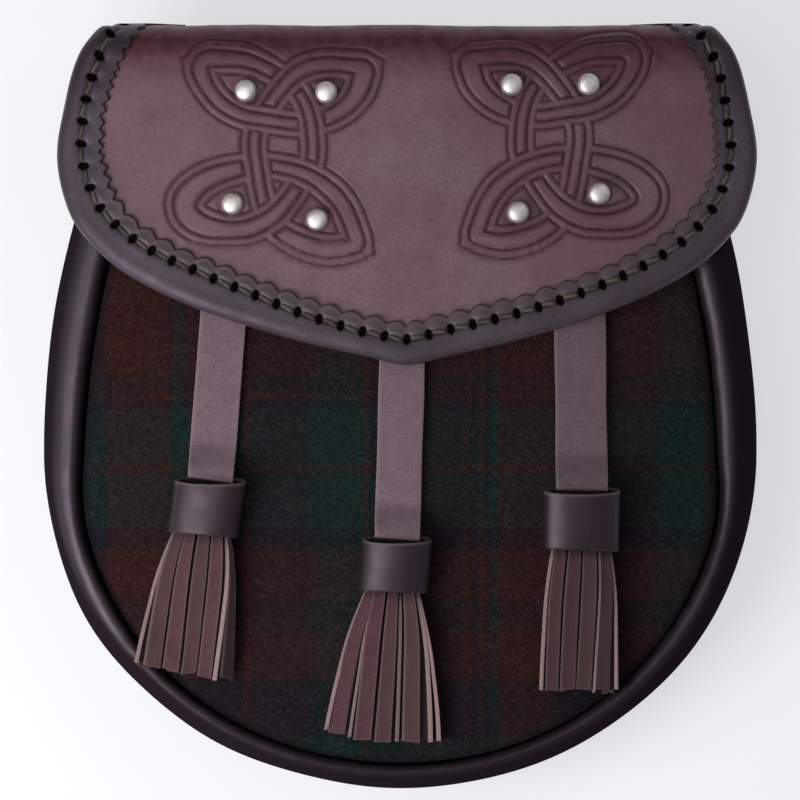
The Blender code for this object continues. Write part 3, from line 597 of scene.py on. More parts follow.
class Surface:
    """A material's one surface shader, and the colour laid up on it so far."""

    def __init__(self, name, **sockets):
        self.material = bpy.data.materials.new(name)
        self.material.use_nodes = True
        self.tree = self.material.node_tree
        self.shader = self.tree.nodes["Principled BSDF"]
        self.set(**sockets)
        self.place = self.node("ShaderNodeTexCoord").outputs["Object"]
        self.colour = None

    def give(self, socket, value):
        """Links an output to the socket, or sets any other value on it."""
        if isinstance(value, bpy.types.NodeSocket):
            self.tree.links.new(value, socket)
        else:
            socket.default_value = value

    def set(self, **sockets):
        """Gives the shader's own sockets their values."""
        for title, value in sockets.items():
            self.give(self.shader.inputs[title.replace("_", " ")], value)

    def node(self, kind, inputs=None, **settings):
        made = self.tree.nodes.new(kind)
        for title, value in settings.items():
            setattr(made, title, value)
        for key, value in (inputs or {}).items():
            self.give(made.inputs[key], value)
        return made

    def grain(self, size_mm, detail):
        """Random noise with cells of a real size."""
        sockets = {"Vector": self.place, "Scale": 1.0 / (size_mm * MM), "Detail": detail}
        return self.node("ShaderNodeTexNoise", sockets).outputs["Fac"]

    def attribute(self, title):
        return self.node("ShaderNodeAttribute", attribute_name=title).outputs["Fac"]

    def calculated(self, operation, *values):
        return self.node("ShaderNodeMath", dict(enumerate(values)), operation=operation).outputs[0]

    def times(self, first, second):
        return self.calculated("MULTIPLY", first, second)

    def plus(self, first, second):
        return self.calculated("ADD", first, second)

    def minus(self, first, second):
        return self.calculated("SUBTRACT", first, second)

    def ranged(self, value, low, high, to_low=0.0, to_high=1.0, smooth=True):
        """A value taken from one range to another."""
        kind = "SMOOTHSTEP" if smooth else "LINEAR"
        sockets = {"Value": value, "From Min": low, "From Max": high, "To Min": to_low, "To Max": to_high}
        return self.node("ShaderNodeMapRange", sockets, interpolation_type=kind).outputs["Result"]

    def line_at(self, distance, at, half_width):
        """1 on the line where a distance has this value, fading to 0 at its sides."""
        off = self.calculated("ABSOLUTE", self.minus(distance, at))
        return self.ranged(off, half_width * LINE_CORE, half_width, 1.0, 0.0)

    def mix(self, share, first, second):
        """One colour mixed with another."""
        return self.node("ShaderNodeMix", {0: share, 6: first, 7: second}, data_type="RGBA").outputs[2]

    def stain(self, share, hex_colour):
        """Lays one more colour over the surface, as far as its share says."""
        self.colour = self.mix(share, self.colour, linear(hex_colour))

    def bands(self, value_mm, bands, low_mm, high_mm):
        """Bands of yarn across a value in millimetres."""
        share = self.ranged(value_mm, low_mm, high_mm, smooth=False)
        ramp = self.node("ShaderNodeValToRGB", {"Fac": share})
        ramp.color_ramp.interpolation = "CONSTANT"
        stops = ramp.color_ramp.elements
        start = low_mm
        for index, (end, yarn) in enumerate(bands):
            at = (start - low_mm) / (high_mm - low_mm)
            stop = stops[index] if index < 2 else stops.new(at)
            stop.position = at
            stop.color = linear(YARNS[yarn])
            start = end
        return ramp.outputs["Color"]

    def bump(self, *heights):
        """Relief from (height, distance in millimetres) pairs, laid one over the other."""
        normal = None
        for height, distance_mm in heights:
            sockets = {"Height": height, "Distance": distance_mm * MM, "Strength": 1.0}
            if normal is not None:
                sockets["Normal"] = normal
            normal = self.node("ShaderNodeBump", sockets).outputs["Normal"]
        self.set(Normal=normal)

    def leather(self, tone, deep, worn, relief_mm, rough=(0.36, 0.52)):
        """The common skin of every smooth leather here, before wear and marks: dye taken up in clouds,
        with pores and fine wrinkles."""
        broad = self.grain(26.0, 3.0)
        cloudy = self.grain(5.0, 4.0)
        fine = self.grain(0.8, 3.0)
        self.colour = self.mix(self.ranged(broad, 0.35, 0.68), linear(tone), linear(worn))
        self.stain(self.ranged(cloudy, 0.44, 0.80, 0.0, 0.32), deep)
        self.stain(self.ranged(fine, 0.42, 0.70, 0.0, 0.42), deep)
        pores = self.node("ShaderNodeTexVoronoi", {"Vector": self.place, "Scale": 1.0 / (PORE_MM * MM)})
        wrinkles = self.grain(2.4, 5.0)
        pitted = pores.outputs["Distance"]
        self.bump((pitted, relief_mm), (fine, relief_mm * 1.3), (wrinkles, relief_mm * 2.2))
        self.set(Roughness=self.ranged(cloudy, 0.30, 0.72, *rough), Specular_Tint=linear("#dccbdc"))

    def done(self):
        self.set(Base_Color=self.colour)
        return self.material


def flap_leather():
    """Vegetable-tanned full-grain cowhide, hand tooled wet and dyed plum: a fine even grain, a soft
    broad shine, dye gathered dark in the cut lines, a redder tone where it is pressed, and painted
    shade, dark and red, over the fold."""
    hide = Surface("tooled flap leather", IOR=1.48)
    hide.leather("#765a60", "#5e444b", "#7e676d", 0.020)
    # Painted shade over the fold, where the leather turns away from the light.
    fold_shade = hide.ranged(hide.attribute("run_mm"), 9.0, -5.0)
    mottle = hide.ranged(hide.grain(3.0, 4.0), 0.40, 0.66)
    hide.colour = hide.mix(fold_shade, hide.colour, hide.mix(mottle, linear("#5a3339"), linear("#4a2328")))
    hide.stain(hide.times(hide.attribute("stud_near"), 0.55), "#4c2c30")
    ridge_edge = hide.attribute("ridge_edge_mm")
    band_edge = hide.attribute("band_edge_mm")
    beside = hide.line_at(ridge_edge, 0.0, 1.7)
    around = hide.line_at(band_edge, KNOT_RIM, 1.5)
    hide.stain(hide.times(hide.calculated("MAXIMUM", beside, around), 0.42), "#55333a")
    rim = hide.times(hide.line_at(band_edge, KNOT_RIM, 0.48), 0.9)
    lines = hide.calculated("MAXIMUM", hide.line_at(ridge_edge, 0.0, 0.52), rim)
    lines = hide.times(lines, hide.ranged(hide.grain(1.8, 3.0), 0.25, 0.70, 0.55, 1.0))
    hide.stain(hide.times(lines, 0.9), "#33191f")
    return hide.done()


def binding_leather():
    """Pigmented calfskin strip, pressed smooth: darker and bluer than the flap, with painted shade round
    the rim and at the fold, painted shadow along its pinked edge and beside its stitches, and painted
    shade in the holes where the thread goes in."""
    calf = Surface("binding leather", IOR=1.5)
    calf.leather("#4c414b", "#3a2f39", "#574c57", 0.014, (0.34, 0.48))
    low = calf.attribute("low")
    seam = calf.attribute("seam_mm")
    # Painted shade round the rim, less along the lower edge, which faces the light.
    rim = calf.ranged(calf.attribute("rim_mm"), 3.0, 0.2, 0.0, 0.75)
    calf.stain(calf.times(rim, calf.ranged(low, 0.0, 1.0, 1.0, 0.15)), "#2b222a")
    # Painted shade at the fold.
    calf.stain(calf.times(calf.attribute("near_fold"), 0.75), "#33252a")
    calf.stain(calf.times(calf.ranged(seam, 0.2, 1.0, 0.0, 0.6), low), "#5b4f4d")
    # Painted shadow beside the stitches, on the rim side.
    calf.stain(calf.times(calf.line_at(seam, -0.55, 0.40), 0.70), "#211719")
    # Painted shadow along the pinked edge.
    cut = calf.ranged(calf.attribute("pinked_mm"), 0.60, 0.05, 0.0, 0.85)
    calf.stain(calf.times(cut, calf.ranged(calf.grain(1.6, 3.0), 0.30, 0.62, 0.25, 1.0)), "#2c1f25")
    # Painted shade in the stitch holes, with their shine turned off.
    hole = calf.ranged(calf.attribute("hole_mm"), 1.25, 0.90)
    calf.stain(hole, "#0e090b")
    calf.set(Specular_IOR_Level=calf.ranged(hole, 0.0, 0.6, 0.5, 0.0))
    return calf.done()


def thread_fibre():
    """Waxed linen thread, two plies laid together: dull taupe with dark between the plies."""
    linen = Surface("waxed linen thread", Roughness=0.70, IOR=1.5, Specular_IOR_Level=0.15)
    hairs = linen.grain(0.35, 3.0)
    linen.colour = linen.mix(linen.ranged(hairs, 0.35, 0.70), linear("#6e645d"), linear("#4a413e"))
    linen.stain(linen.ranged(linen.grain(6.0, 2.0), 0.42, 0.66, 0.0, 0.6), "#3c3331")
    linen.stain(linen.attribute("shade"), "#0e090b")
    linen.bump((hairs, 0.05))
    return linen.done()


def border_leather():
    """Chrome-tanned cowhide, rolled and polished: near black plum, with a painted highlight along its
    crest, and painted shade with a duller shine on its outer side and in the groove at its inner edge."""
    hide = Surface("rolled border leather", IOR=1.5)
    hide.leather("#2c222a", "#21181e", "#342a33", 0.012, (0.38, 0.48))
    # A painted highlight along the crest, patchy.
    rubbing_and_highlight = hide.ranged(hide.grain(12.0, 3.0), 0.3, 0.7, 0.45, 0.8)
    hide.stain(hide.times(hide.attribute("crest"), rubbing_and_highlight), "#564a54")
    # Painted shade in the groove at the roll's inner edge.
    groove = hide.ranged(hide.attribute("inward_mm"), -2.6, -0.4, 0.0, 0.75)
    hide.stain(groove, "#130d11")
    polished = hide.attribute("polished")
    # Painted shade on the outer side, outside the polished and lit part; the shine is turned down there and
    # in the groove.
    hide.stain(hide.minus(1.0, polished), "#281e26")
    shine = hide.times(polished, hide.minus(1.0, groove))
    hide.set(Specular_IOR_Level=hide.ranged(shine, 0.0, 1.0, 0.0, 0.85))
    return hide.done()


def back_leather():
    """Chrome-tanned cowhide, flat and little finished: dark, with a dull shine."""
    hide = Surface("back leather", IOR=1.5)
    hide.leather("#30242a", "#23181d", "#3c2f35", 0.035, (0.42, 0.62))
    return hide.done()


def cap_leather():
    """Calfskin band, skived, rolled and burnished: the smoothest and glossiest leather on the pouch."""
    calf = Surface("burnished cap leather", IOR=1.5, Specular_IOR_Level=0.70)
    calf.leather("#2b2027", "#21171d", "#33272f", 0.012, (0.38, 0.50))
    # The lips' edges painted pale: raw cut leather, with a painted highlight on them.
    calf.stain(calf.attribute("cut_edge_and_glint"), "#7d6c66")
    # Painted shade inside the cap.
    calf.stain(calf.attribute("inside"), "#0d0809")
    return calf.done()


def suede(name, face, nap, dark, edge, dull):
    """Split cowhide with a brushed nap: dull, softly mottled, with dry pale fibres where it was cut."""
    split = Surface(
        name, Roughness=0.86, IOR=1.45, Specular_IOR_Level=0.25, Sheen_Weight=0.18, Sheen_Roughness=0.5)
    brushed = split.grain(3.2, 4.0)
    fuzz = split.grain(0.55, 3.0)
    split.colour = split.mix(split.ranged(brushed, 0.36, 0.68, 0.0, 0.45), linear(face), linear(nap))
    split.stain(split.ranged(fuzz, 0.40, 0.70, 0.0, 0.42), dark)
    split.stain(split.times(split.attribute("tone"), 0.6), dull)
    # Pale raw cut edges, and on the strap a painted highlight where it bends over the cap's lip.
    split.stain(split.times(split.attribute("cut_edge_and_glint"), split.ranged(fuzz, 0.2, 0.7, 1.0, 0.7)), edge)
    # Painted shade: on strips below or away from the light, near and inside the cap's mouth, and over the
    # right strap.
    split.stain(split.attribute("shade"), "#23171a")
    split.bump((fuzz, 0.09), (brushed, 0.10))
    return split.done()


# The tartan's bands from left to right: where each ends, in millimetres from the middle, and its yarn
TARTAN_WARP = (
    (-78.8, "navy"), (-73.3, "blue"), (-58.3, "rust"), (-57.4, "navy"), (-53.0, "green"), (-51.5, "red"),
    (-40.0, "navy"), (-37.5, "rust"), (-22.5, "plum"), (-9.8, "green"), (-8.2, "red"), (2.0, "navy"),
    (16.0, "plum"), (17.2, "red"), (19.4, "navy"), (20.6, "red"), (22.2, "navy"), (24.2, "green"),
    (38.5, "rust"), (50.0, "navy"), (64.0, "plum"), (75.6, "green"), (77.2, "red"), (90.0, "blue"),
)
# and from the bottom to the top
TARTAN_WEFT = (
    (-93.0, "navy"), (-84.0, "green"), (-69.0, "navy"), (-56.5, "rust"), (-49.0, "plum"), (-36.5, "rust"),
    (-31.5, "navy"), (-17.0, "green"), (-15.6, "red"), (-2.0, "green"), (0.5, "navy"), (2.0, "red"),
    (7.0, "plum"), (8.0, "red"), (13.4, "rust"), (14.4, "red"), (34.5, "rust"), (50.0, "navy"),
    (70.0, "green"), (90.0, "rust"),
)
YARNS = {
    "rust": "#3a1b1b",
    "red": "#3a201a",
    "green": "#112c2b",
    "navy": "#191724",
    "blue": "#171d29",
    "plum": "#281b21",
}
WARP_SPAN_MM = (-90.0, 90.0)
WEFT_SPAN_MM = (-100.0, 90.0)
TWILL_PITCH_MM = 1.5
TWILL_SLOPE = 1.15


def tartan_cloth():
    """Worsted kilt cloth, woven two over and two under: dull wool with steep twill lines, the bands of
    warp and weft mixing where they cross. The real twill is 0.6 mm wide, too fine to show here, so it is
    drawn two and a half times as coarse."""
    wool = Surface("tartan cloth", Roughness=0.92, IOR=1.45, Specular_IOR_Level=0.08,
                   Sheen_Weight=0.04, Sheen_Roughness=0.6)
    axes = wool.node("ShaderNodeSeparateXYZ", {"Vector": wool.place})
    pull = wool.times(wool.minus(wool.grain(9.0, 2.0), 0.5), 1.6)
    x_mm = wool.plus(wool.times(axes.outputs["X"], 1.0 / MM), pull)
    y_mm = wool.plus(wool.times(axes.outputs["Y"], 1.0 / MM), pull)
    loose = wool.times(wool.minus(wool.grain(1.1, 3.0), 0.5), 3.2)
    warp = wool.bands(wool.plus(x_mm, loose), TARTAN_WARP, *WARP_SPAN_MM)
    weft = wool.bands(wool.minus(y_mm, loose), TARTAN_WEFT, *WEFT_SPAN_MM)
    steep = wool.plus(wool.times(x_mm, TWILL_SLOPE), y_mm)
    turn = wool.calculated("DIVIDE", steep, TWILL_PITCH_MM)
    wave = wool.calculated("SINE", wool.times(turn, 2.0 * math.pi))
    wool.colour = wool.mix(wool.ranged(wave, -0.8, 0.8, 0.12, 0.88), weft, warp)
    wool.stain(wool.ranged(wool.calculated("ABSOLUTE", wave), 0.0, 0.8, 0.42, 0.0), "#0d0a0b")
    knots = wool.grain(0.9, 3.0)
    wool.stain(wool.ranged(knots, 0.56, 0.36, 0.0, 0.55), "#0e0a0b")
    wool.stain(wool.ranged(knots, 0.50, 0.72, 0.0, 0.36), "#433632")
    hairs = wool.grain(0.5, 3.0)
    wool.stain(wool.ranged(hairs, 0.50, 0.80, 0.0, 0.26), "#4a3b38")
    wool.stain(wool.ranged(wool.grain(14.0, 4.0), 0.45, 0.75, 0.0, 0.25), "#241a1c")
    # Painted shade along the edge, where the tartan runs in under the rolled border.
    wool.stain(wool.ranged(wool.attribute("edge_mm"), 2.2, 0.2, 0.0, 0.55), "#0c080b")
    wool.bump((wave, 0.06), (hairs, 0.10))
    return wool.done()


def stud_metal():
    """Nickel-plated steel, stamped and polished, then worn soft: bright, with a broad satin shine."""
    nickel = Surface("nickel plate", Metallic=1.0)
    rubbing_and_highlight = nickel.grain(1.1, 4.0)
    nickel.colour = nickel.mix(nickel.ranged(rubbing_and_highlight, 0.35, 0.70), linear("#fbf5f1"), linear("#ece4df"))
    nickel.set(Roughness=nickel.ranged(rubbing_and_highlight, 0.30, 0.75, 0.48, 0.58))
    nickel.bump((rubbing_and_highlight, 0.008))
    return nickel.done()


# The flap

def knot_curve(row):
    """One knot's strand in millimetres on the face: places and half widths along the curve."""
    points = [(point["across"], point["up"], point["half"]) for point in KNOT_STRAND]
    curve = through_points(points, KNOT_STEPS, closed=True)
    curve[:, 0] = curve[:, 0] * row["mirror"] + row["x"]
    curve[:, 1] += row["y"]
    return curve


def knot_tips(curve):
    """Tapering spurs that draw the pointed corners of three lobes out of the strand's round ones."""
    spurs = []
    count = len(curve)
    for corner in KNOT_TIPS:
        here = corner * KNOT_STEPS
        tip = curve[here, :2]
        beside = curve[(here - KNOT_TIP_SPREAD) % count, :2] + curve[(here + KNOT_TIP_SPREAD) % count, :2]
        outward = tip - beside / 2.0
        outward /= np.linalg.norm(outward)
        reach = curve[here, 2] + KNOT_RIM
        share = np.linspace(0.0, 1.0, 24)[:, None]
        places = tip + outward * share * reach * KNOT_TIP_STRETCH
        halves = reach * (1.0 - share) - KNOT_RIM
        spurs.append(np.concatenate((places, halves), axis=1))
    return spurs


def strand_crossings(places):
    """The places in a closed curve where it meets itself, as sorted steps along it."""
    reach = np.roll(places, -1, axis=0) - places
    count = len(places)
    passes = []
    for first in range(count):
        others = np.arange(first + 2, count - (1 if first == 0 else 0))
        gap = places[others] - places[first]
        cross = reach[first, 0] * reach[others, 1] - reach[first, 1] * reach[others, 0]
        cross = np.where(np.abs(cross) < PARALLEL, PARALLEL, cross)
        own = (gap[:, 0] * reach[others, 1] - gap[:, 1] * reach[others, 0]) / cross
        other = (gap[:, 0] * reach[first, 1] - gap[:, 1] * reach[first, 0]) / cross
        hits = (own >= 0.0) & (own < 1.0) & (other >= 0.0) & (other < 1.0)
        passes += [first + own_share for own_share in own[hits]]
        passes += list(others[hits] + other[hits])
    return sorted(passes)


def strand_stretches(places):
    """The strand's stretches, one round each crossing it passes: whether it lies over there, and its
    samples, which run a little into the next stretches."""
    passes = strand_crossings(places)
    count = len(places)
    stretches = []
    for index, here in enumerate(passes):
        before = passes[index - 1] - (count if index == 0 else 0)
        after = passes[(index + 1) % len(passes)] + (count if index == len(passes) - 1 else 0)
        first = int(math.floor((before + here) / 2.0)) - OVERLAP_STEPS
        last = int(math.ceil((here + after) / 2.0)) + OVERLAP_STEPS
        stretches.append((index % 2 == 0, np.arange(first, last + 1) % count))
    return stretches


def edge_distance(points, samples, open_ends):
    """Signed distance from the edge of a band through the samples, negative inside it; with open
    ends, a point beyond an end has none."""
    found = np.empty(len(points))
    batch = 6000
    for start in range(0, len(points), batch):
        part = points[start:start + batch]
        gap = np.linalg.norm(part[:, None, :] - samples[None, :, :2], axis=2) - samples[None, :, 2]
        best = np.argmin(gap, axis=1)
        value = gap[np.arange(len(part)), best]
        if open_ends:
            value[(best == 0) | (best == len(samples) - 1)] = BEYOND_MM
        found[start:start + batch] = value
    return found


def knot_fields(face_x_mm, face_y_mm):
    """Where the knots' tooling lies: distance from the raised bands' edges, and from the outer edge of
    the whole strand, in millimetres."""
    ridge = np.full(face_x_mm.shape, FAR_MM)
    band = np.full(face_x_mm.shape, FAR_MM)
    half_across, half_up = KNOT_HALF_BOX
    for row in KNOT_PLACES:
        curve = knot_curve(row)
        near = (np.abs(face_x_mm - row["x"]) < half_across) & (np.abs(face_y_mm - row["y"]) < half_up)
        points = np.column_stack((face_x_mm[near], face_y_mm[near]))
        upper = np.full(len(points), BEYOND_MM)
        lower = np.full(len(points), BEYOND_MM)
        for over, samples in strand_stretches(curve[:, :2]):
            gap = edge_distance(points, curve[samples], True)
            if over:
                upper = np.minimum(upper, gap)
            else:
                lower = np.minimum(lower, gap)
        whole = edge_distance(points, curve, False)
        for spur in knot_tips(curve):
            gap = edge_distance(points, spur, False)
            lower = np.minimum(lower, gap)
            whole = np.minimum(whole, gap)
        ridge[near] = np.minimum(upper, np.maximum(lower, KNOT_RIM - upper))
        band[near] = whole
    return np.clip(ridge, -FAR_MM, FAR_MM), np.clip(band, -FAR_MM, FAR_MM)


def spaced(stops):
    """Positions through (from, to, spacing) stretches, one after the other."""
    found = []
    for start, end, spacing in stops:
        count = max(1, int(round(abs(end - start) / spacing)))
        found += list(np.linspace(start, end, count, endpoint=False))
    found.append(stops[-1][1])
    return np.array(found) * MM


def half_at(runs, inset):
    """Half the flap's width at each run, with its edge moved in."""
    edge = inset_edge(flap_edge(), inset)
    order = np.argsort(edge[:, 1])
    return np.interp(runs, edge[order, 1], edge[order, 0])


def stud_place(row):
    """One stud's place on the flap: across it, and down its run."""
    return np.array(FLAP_SHIFT + row["across"] * FLAP_HALF_WIDTH), np.array(row["drop"] * FLAP_DROP)


def build_flap(material):
    """The tooled flap: a fine outer face with the knots' relief, a plain inner face, joined at the rim."""
    inset = BINDING_THICKNESS + FLAP_THICKNESS * 0.55 + BINDING_GAP
    edge = inset_edge(flap_edge(), inset)
    tip_run = edge[-1, 1] / MM
    back_run = -FOLD_RUN / MM
    first, last = KNOT_RUN
    runs = spaced((
        (back_run, first - 5.0, 1.6), (first - 5.0, first, 0.8), (first, last, KNOT_SPACING),
        (last, tip_run, 1.0)))
    wide = FLAP_HALF_WIDTH / MM
    (left, left_end), (right, right_end) = KNOT_ACROSS
    across = spaced((
        (-wide, left, PLAIN_SPACING), (left, left_end, KNOT_SPACING), (left_end, right, PLAIN_SPACING),
        (right, right_end, KNOT_SPACING), (right_end, wide + 2.0, PLAIN_SPACING)))
    halves = half_at(runs, inset)
    lap_runs = -FOLD_RUN - LAP_LENGTH * np.array((1.0, 0.5, 0.1))
    runs = np.concatenate((lap_runs, runs))
    halves = np.concatenate((np.full(3, LAP_HALF_WIDTH), halves))
    low = FLAP_SHIFT - halves
    high = FLAP_SHIFT + halves
    x = np.clip(across[None, :], low[:, None], high[:, None])
    x[:, 0] = low
    x[:, -1] = high
    run = np.repeat(runs[:, None], len(across), axis=1)
    middle = flap_points(x, run)
    normals = flap_normals(x, run)
    ridge, band = knot_fields(middle[..., 0] / MM, middle[..., 1] / MM)
    behind = run < -FRONT_BEND * 0.98
    ridge[behind] = FAR_MM
    band[behind] = FAR_MM
    raised = BAND_RELIEF[0] * smooth_step(-ridge / BAND_RELIEF[1])
    groove = LINE_RELIEF[0] * bump_at(ridge, LINE_RELIEF[1])
    rim_groove = RIM_RELIEF[0] * bump_at(band - KNOT_RIM, RIM_RELIEF[1])
    pillow_height, pillow_edge = PILLOW_RELIEF
    pillow = pillow_height * smooth_step((KNOT_RIM - band) / pillow_edge) * smooth_step(ridge / pillow_edge)
    spread_y = middle[..., 1]
    hand = sum(height * soft_waves(x, spread_y, size, seed) for height, size, seed in HAND_WAVES)
    stud_near = np.zeros_like(x)
    seat = np.zeros_like(x)
    for row in STUD_ROWS:
        at = flap_points(*stud_place(row))
        off = np.hypot(x - at[0], spread_y - at[1]) / MM
        stud_near = np.maximum(stud_near, bump_at(off, LOBE_WIDTH))
        seat = np.minimum(seat, SEAT_RELIEF[0] * bump_at(off - SEAT_RADIUS, SEAT_RELIEF[1]))
        ridge[off < STUD_COVER] = FAR_MM
    relief = (raised + groove + rim_groove + pillow + hand + seat) * MM
    outer = middle + normals * (FLAP_THICKNESS / 2 + relief)[..., None]
    rows, columns = x.shape
    faces = grid_faces(rows, columns)
    skip_rows = np.unique(np.concatenate((np.arange(0, rows, 8), [rows - 1])))
    skip_columns = np.unique(np.concatenate((np.arange(0, columns, 10), [columns - 1])))
    inner = (middle - normals * (FLAP_THICKNESS / 2))[np.ix_(skip_rows, skip_columns)]
    start = rows * columns
    inner_faces = grid_faces(len(skip_rows), len(skip_columns), start=start)
    faces += [list(reversed(face)) for face in inner_faces]
    outer_rim = rim_loop(rows, columns)
    inner_rim = rim_loop(len(skip_rows), len(skip_columns)) + start
    faces += rim_faces(outer_rim, inner_rim, outer_rim_keys(rows, columns, skip_rows, skip_columns))
    inner_count = len(skip_rows) * len(skip_columns)
    fields = {
        "ridge_edge_mm": (ridge, FAR_MM), "band_edge_mm": (band, FAR_MM), "run_mm": (run / MM, 0.0),
        "stud_near": (stud_near, 0.0)}
    attributes = {
        title: np.concatenate((values.ravel(), np.full(inner_count, plain_value)))
        for title, (values, plain_value) in fields.items()}
    points = np.concatenate((outer.reshape(-1, 3), inner.reshape(-1, 3)))
    made = piece("tooled_flap", points, faces, material, attributes)
    weld(made, FLAP_WELD)
    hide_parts("flap")


def rim_loop(rows, columns):
    """The points round a grid's border, once round."""
    top = np.arange(columns)
    right = np.arange(1, rows) * columns + columns - 1
    bottom = (rows - 1) * columns + np.arange(columns - 2, -1, -1)
    left = np.arange(rows - 2, 0, -1) * columns
    return np.concatenate((top, right, bottom, left))


def outer_rim_keys(rows, columns, kept_rows, kept_columns):
    """Which points of the fine border the coarse border's points stand under."""
    top = kept_columns
    right = columns - 1 + kept_rows[1:]
    bottom = columns + rows - 2 + (columns - 1 - kept_columns[::-1][1:])
    left = 2 * columns + rows - 3 + (rows - 1 - kept_rows[::-1][1:-1])
    return np.concatenate((top, right, bottom, left))


def rim_faces(outer, inner, keys):
    """Faces that join a fine border to a coarse one."""
    faces = []
    count = len(inner)
    for index in range(count):
        first = keys[index]
        last = keys[index + 1] if index + 1 < count else len(outer)
        following = inner[(index + 1) % count]
        chain = [int(outer[step % len(outer)]) for step in range(first, last + 1)]
        for here, there in zip(chain, chain[1:]):
            faces.append([here, there, int(inner[index])])
        faces.append([chain[-1], int(following), int(inner[index])])
    return faces


def weld(made, distance):
    """Joins points that share one place, and turns all faces outwards."""
    build = bmesh.new()
    build.from_mesh(made.data)
    bmesh.ops.remove_doubles(build, verts=build.verts[:], dist=distance)
    bmesh.ops.dissolve_degenerate(build, edges=build.edges[:], dist=distance / 4)
    bmesh.ops.recalc_face_normals(build, faces=build.faces[:])
    build.to_mesh(made.data)
    build.free()


# The binding and its stitches

class Seam:
    """The flap's whole free edge from its upper left round the tip to its upper right, measured along
    the line of stitches; places on it are given by that length and the distance in from the rim."""

    def __init__(self):
        half = flap_edge()
        edge = np.concatenate((half * np.array((-1.0, 1.0)), half[::-1][1:]))
        along = np.gradient(edge, axis=0)
        inward = np.column_stack((along[:, 1], -along[:, 0]))
        inward /= np.linalg.norm(inward, axis=1)[:, None]
        middle = edge.mean(axis=0)
        if np.sum((middle - edge) * inward) < 0.0:
            inward = -inward
        edge_run = run_lengths(edge)
        shares = edge_run / edge_run[-1]
        along_rows = [row["along"] for row in SEAM_ROWS]
        self.stitch_inset = np.interp(shares, along_rows, [row["stitch"] for row in SEAM_ROWS]) * MM
        self.pinked_gap = np.interp(shares, along_rows, [row["pinked"] for row in SEAM_ROWS]) * MM
        line = edge + inward * self.stitch_inset[:, None]
        self.run = run_lengths(line)
        self.length = self.run[-1]
        self.edge = edge
        self.inward = inward

    def flat(self, at, inset):
        """Across the flap, and along its run, for lengths on the seam and distances in from the rim."""
        edge = np.stack([np.interp(at, self.run, self.edge[:, axis]) for axis in (0, 1)], axis=-1)
        inward = np.stack([np.interp(at, self.run, self.inward[:, axis]) for axis in (0, 1)], axis=-1)
        inward = inward / np.linalg.norm(inward, axis=-1)[..., None]
        spot = edge + inward * inset[..., None]
        return FLAP_SHIFT + spot[..., 0], spot[..., 1]

    def stitches(self, at):
        """How far in from the rim the stitches lie."""
        return np.interp(at, self.run, self.stitch_inset)

    def pinked(self, at):
        """How far in from the rim the pinked edge lies, in the middle of its teeth."""
        return self.stitches(at) + np.interp(at, self.run, self.pinked_gap)

    def near_fold(self, at):
        """1 at the fold, fading down the face: where the binding takes painted shade."""
        run = np.interp(at, self.run, self.edge[:, 1])
        return 1.0 - smooth_step(run / FOLD_SHADE)

    def upright(self, at):
        """1 behind the fold's first quarter, where the flap stands up, and 0 on the face."""
        run = np.interp(at, self.run, self.edge[:, 1])
        return smooth_step((-run - STANDING_FROM) / STANDING_EASE)

    def place(self, at, inset, lift):
        """Points over the flap's middle surface."""
        x, run = self.flat(at, inset)
        return flap_points(x, run) + flap_normals(x, run) * lift[..., None]

    def lowness(self, at):
        """0 on the flap's sides, 1 along its lower edge."""
        inward = np.interp(at, self.run, self.inward[:, 1])
        return smooth_step(-inward / 0.8)

    def holes(self):
        """Where the stitch holes lie along the seam."""
        count = int(round(self.length / STITCH_PITCH))
        return (np.arange(count) + 0.5) * self.length / count


def binding_lift(inset, seam_inset):
    """Height of the binding's outer face over the flap's middle: rounded at the rim, pulled in at the
    stitches, pressed down at the pinked edge."""
    round_part = np.clip(inset / TURN_REACH, 0.0, 1.0)
    lift = BINDING_REACH * (1.0 - (1.0 - round_part) ** TURN_POWER) ** (1.0 / TURN_POWER)
    lift = lift + 0.00022 * bump_at(inset - 0.0030, 0.0013)
    lift = lift - SEAM_SINK * bump_at(inset - seam_inset, 0.00095)
    return lift - 0.00030 * smooth_step((inset - seam_inset - 0.0006) / 0.0018)


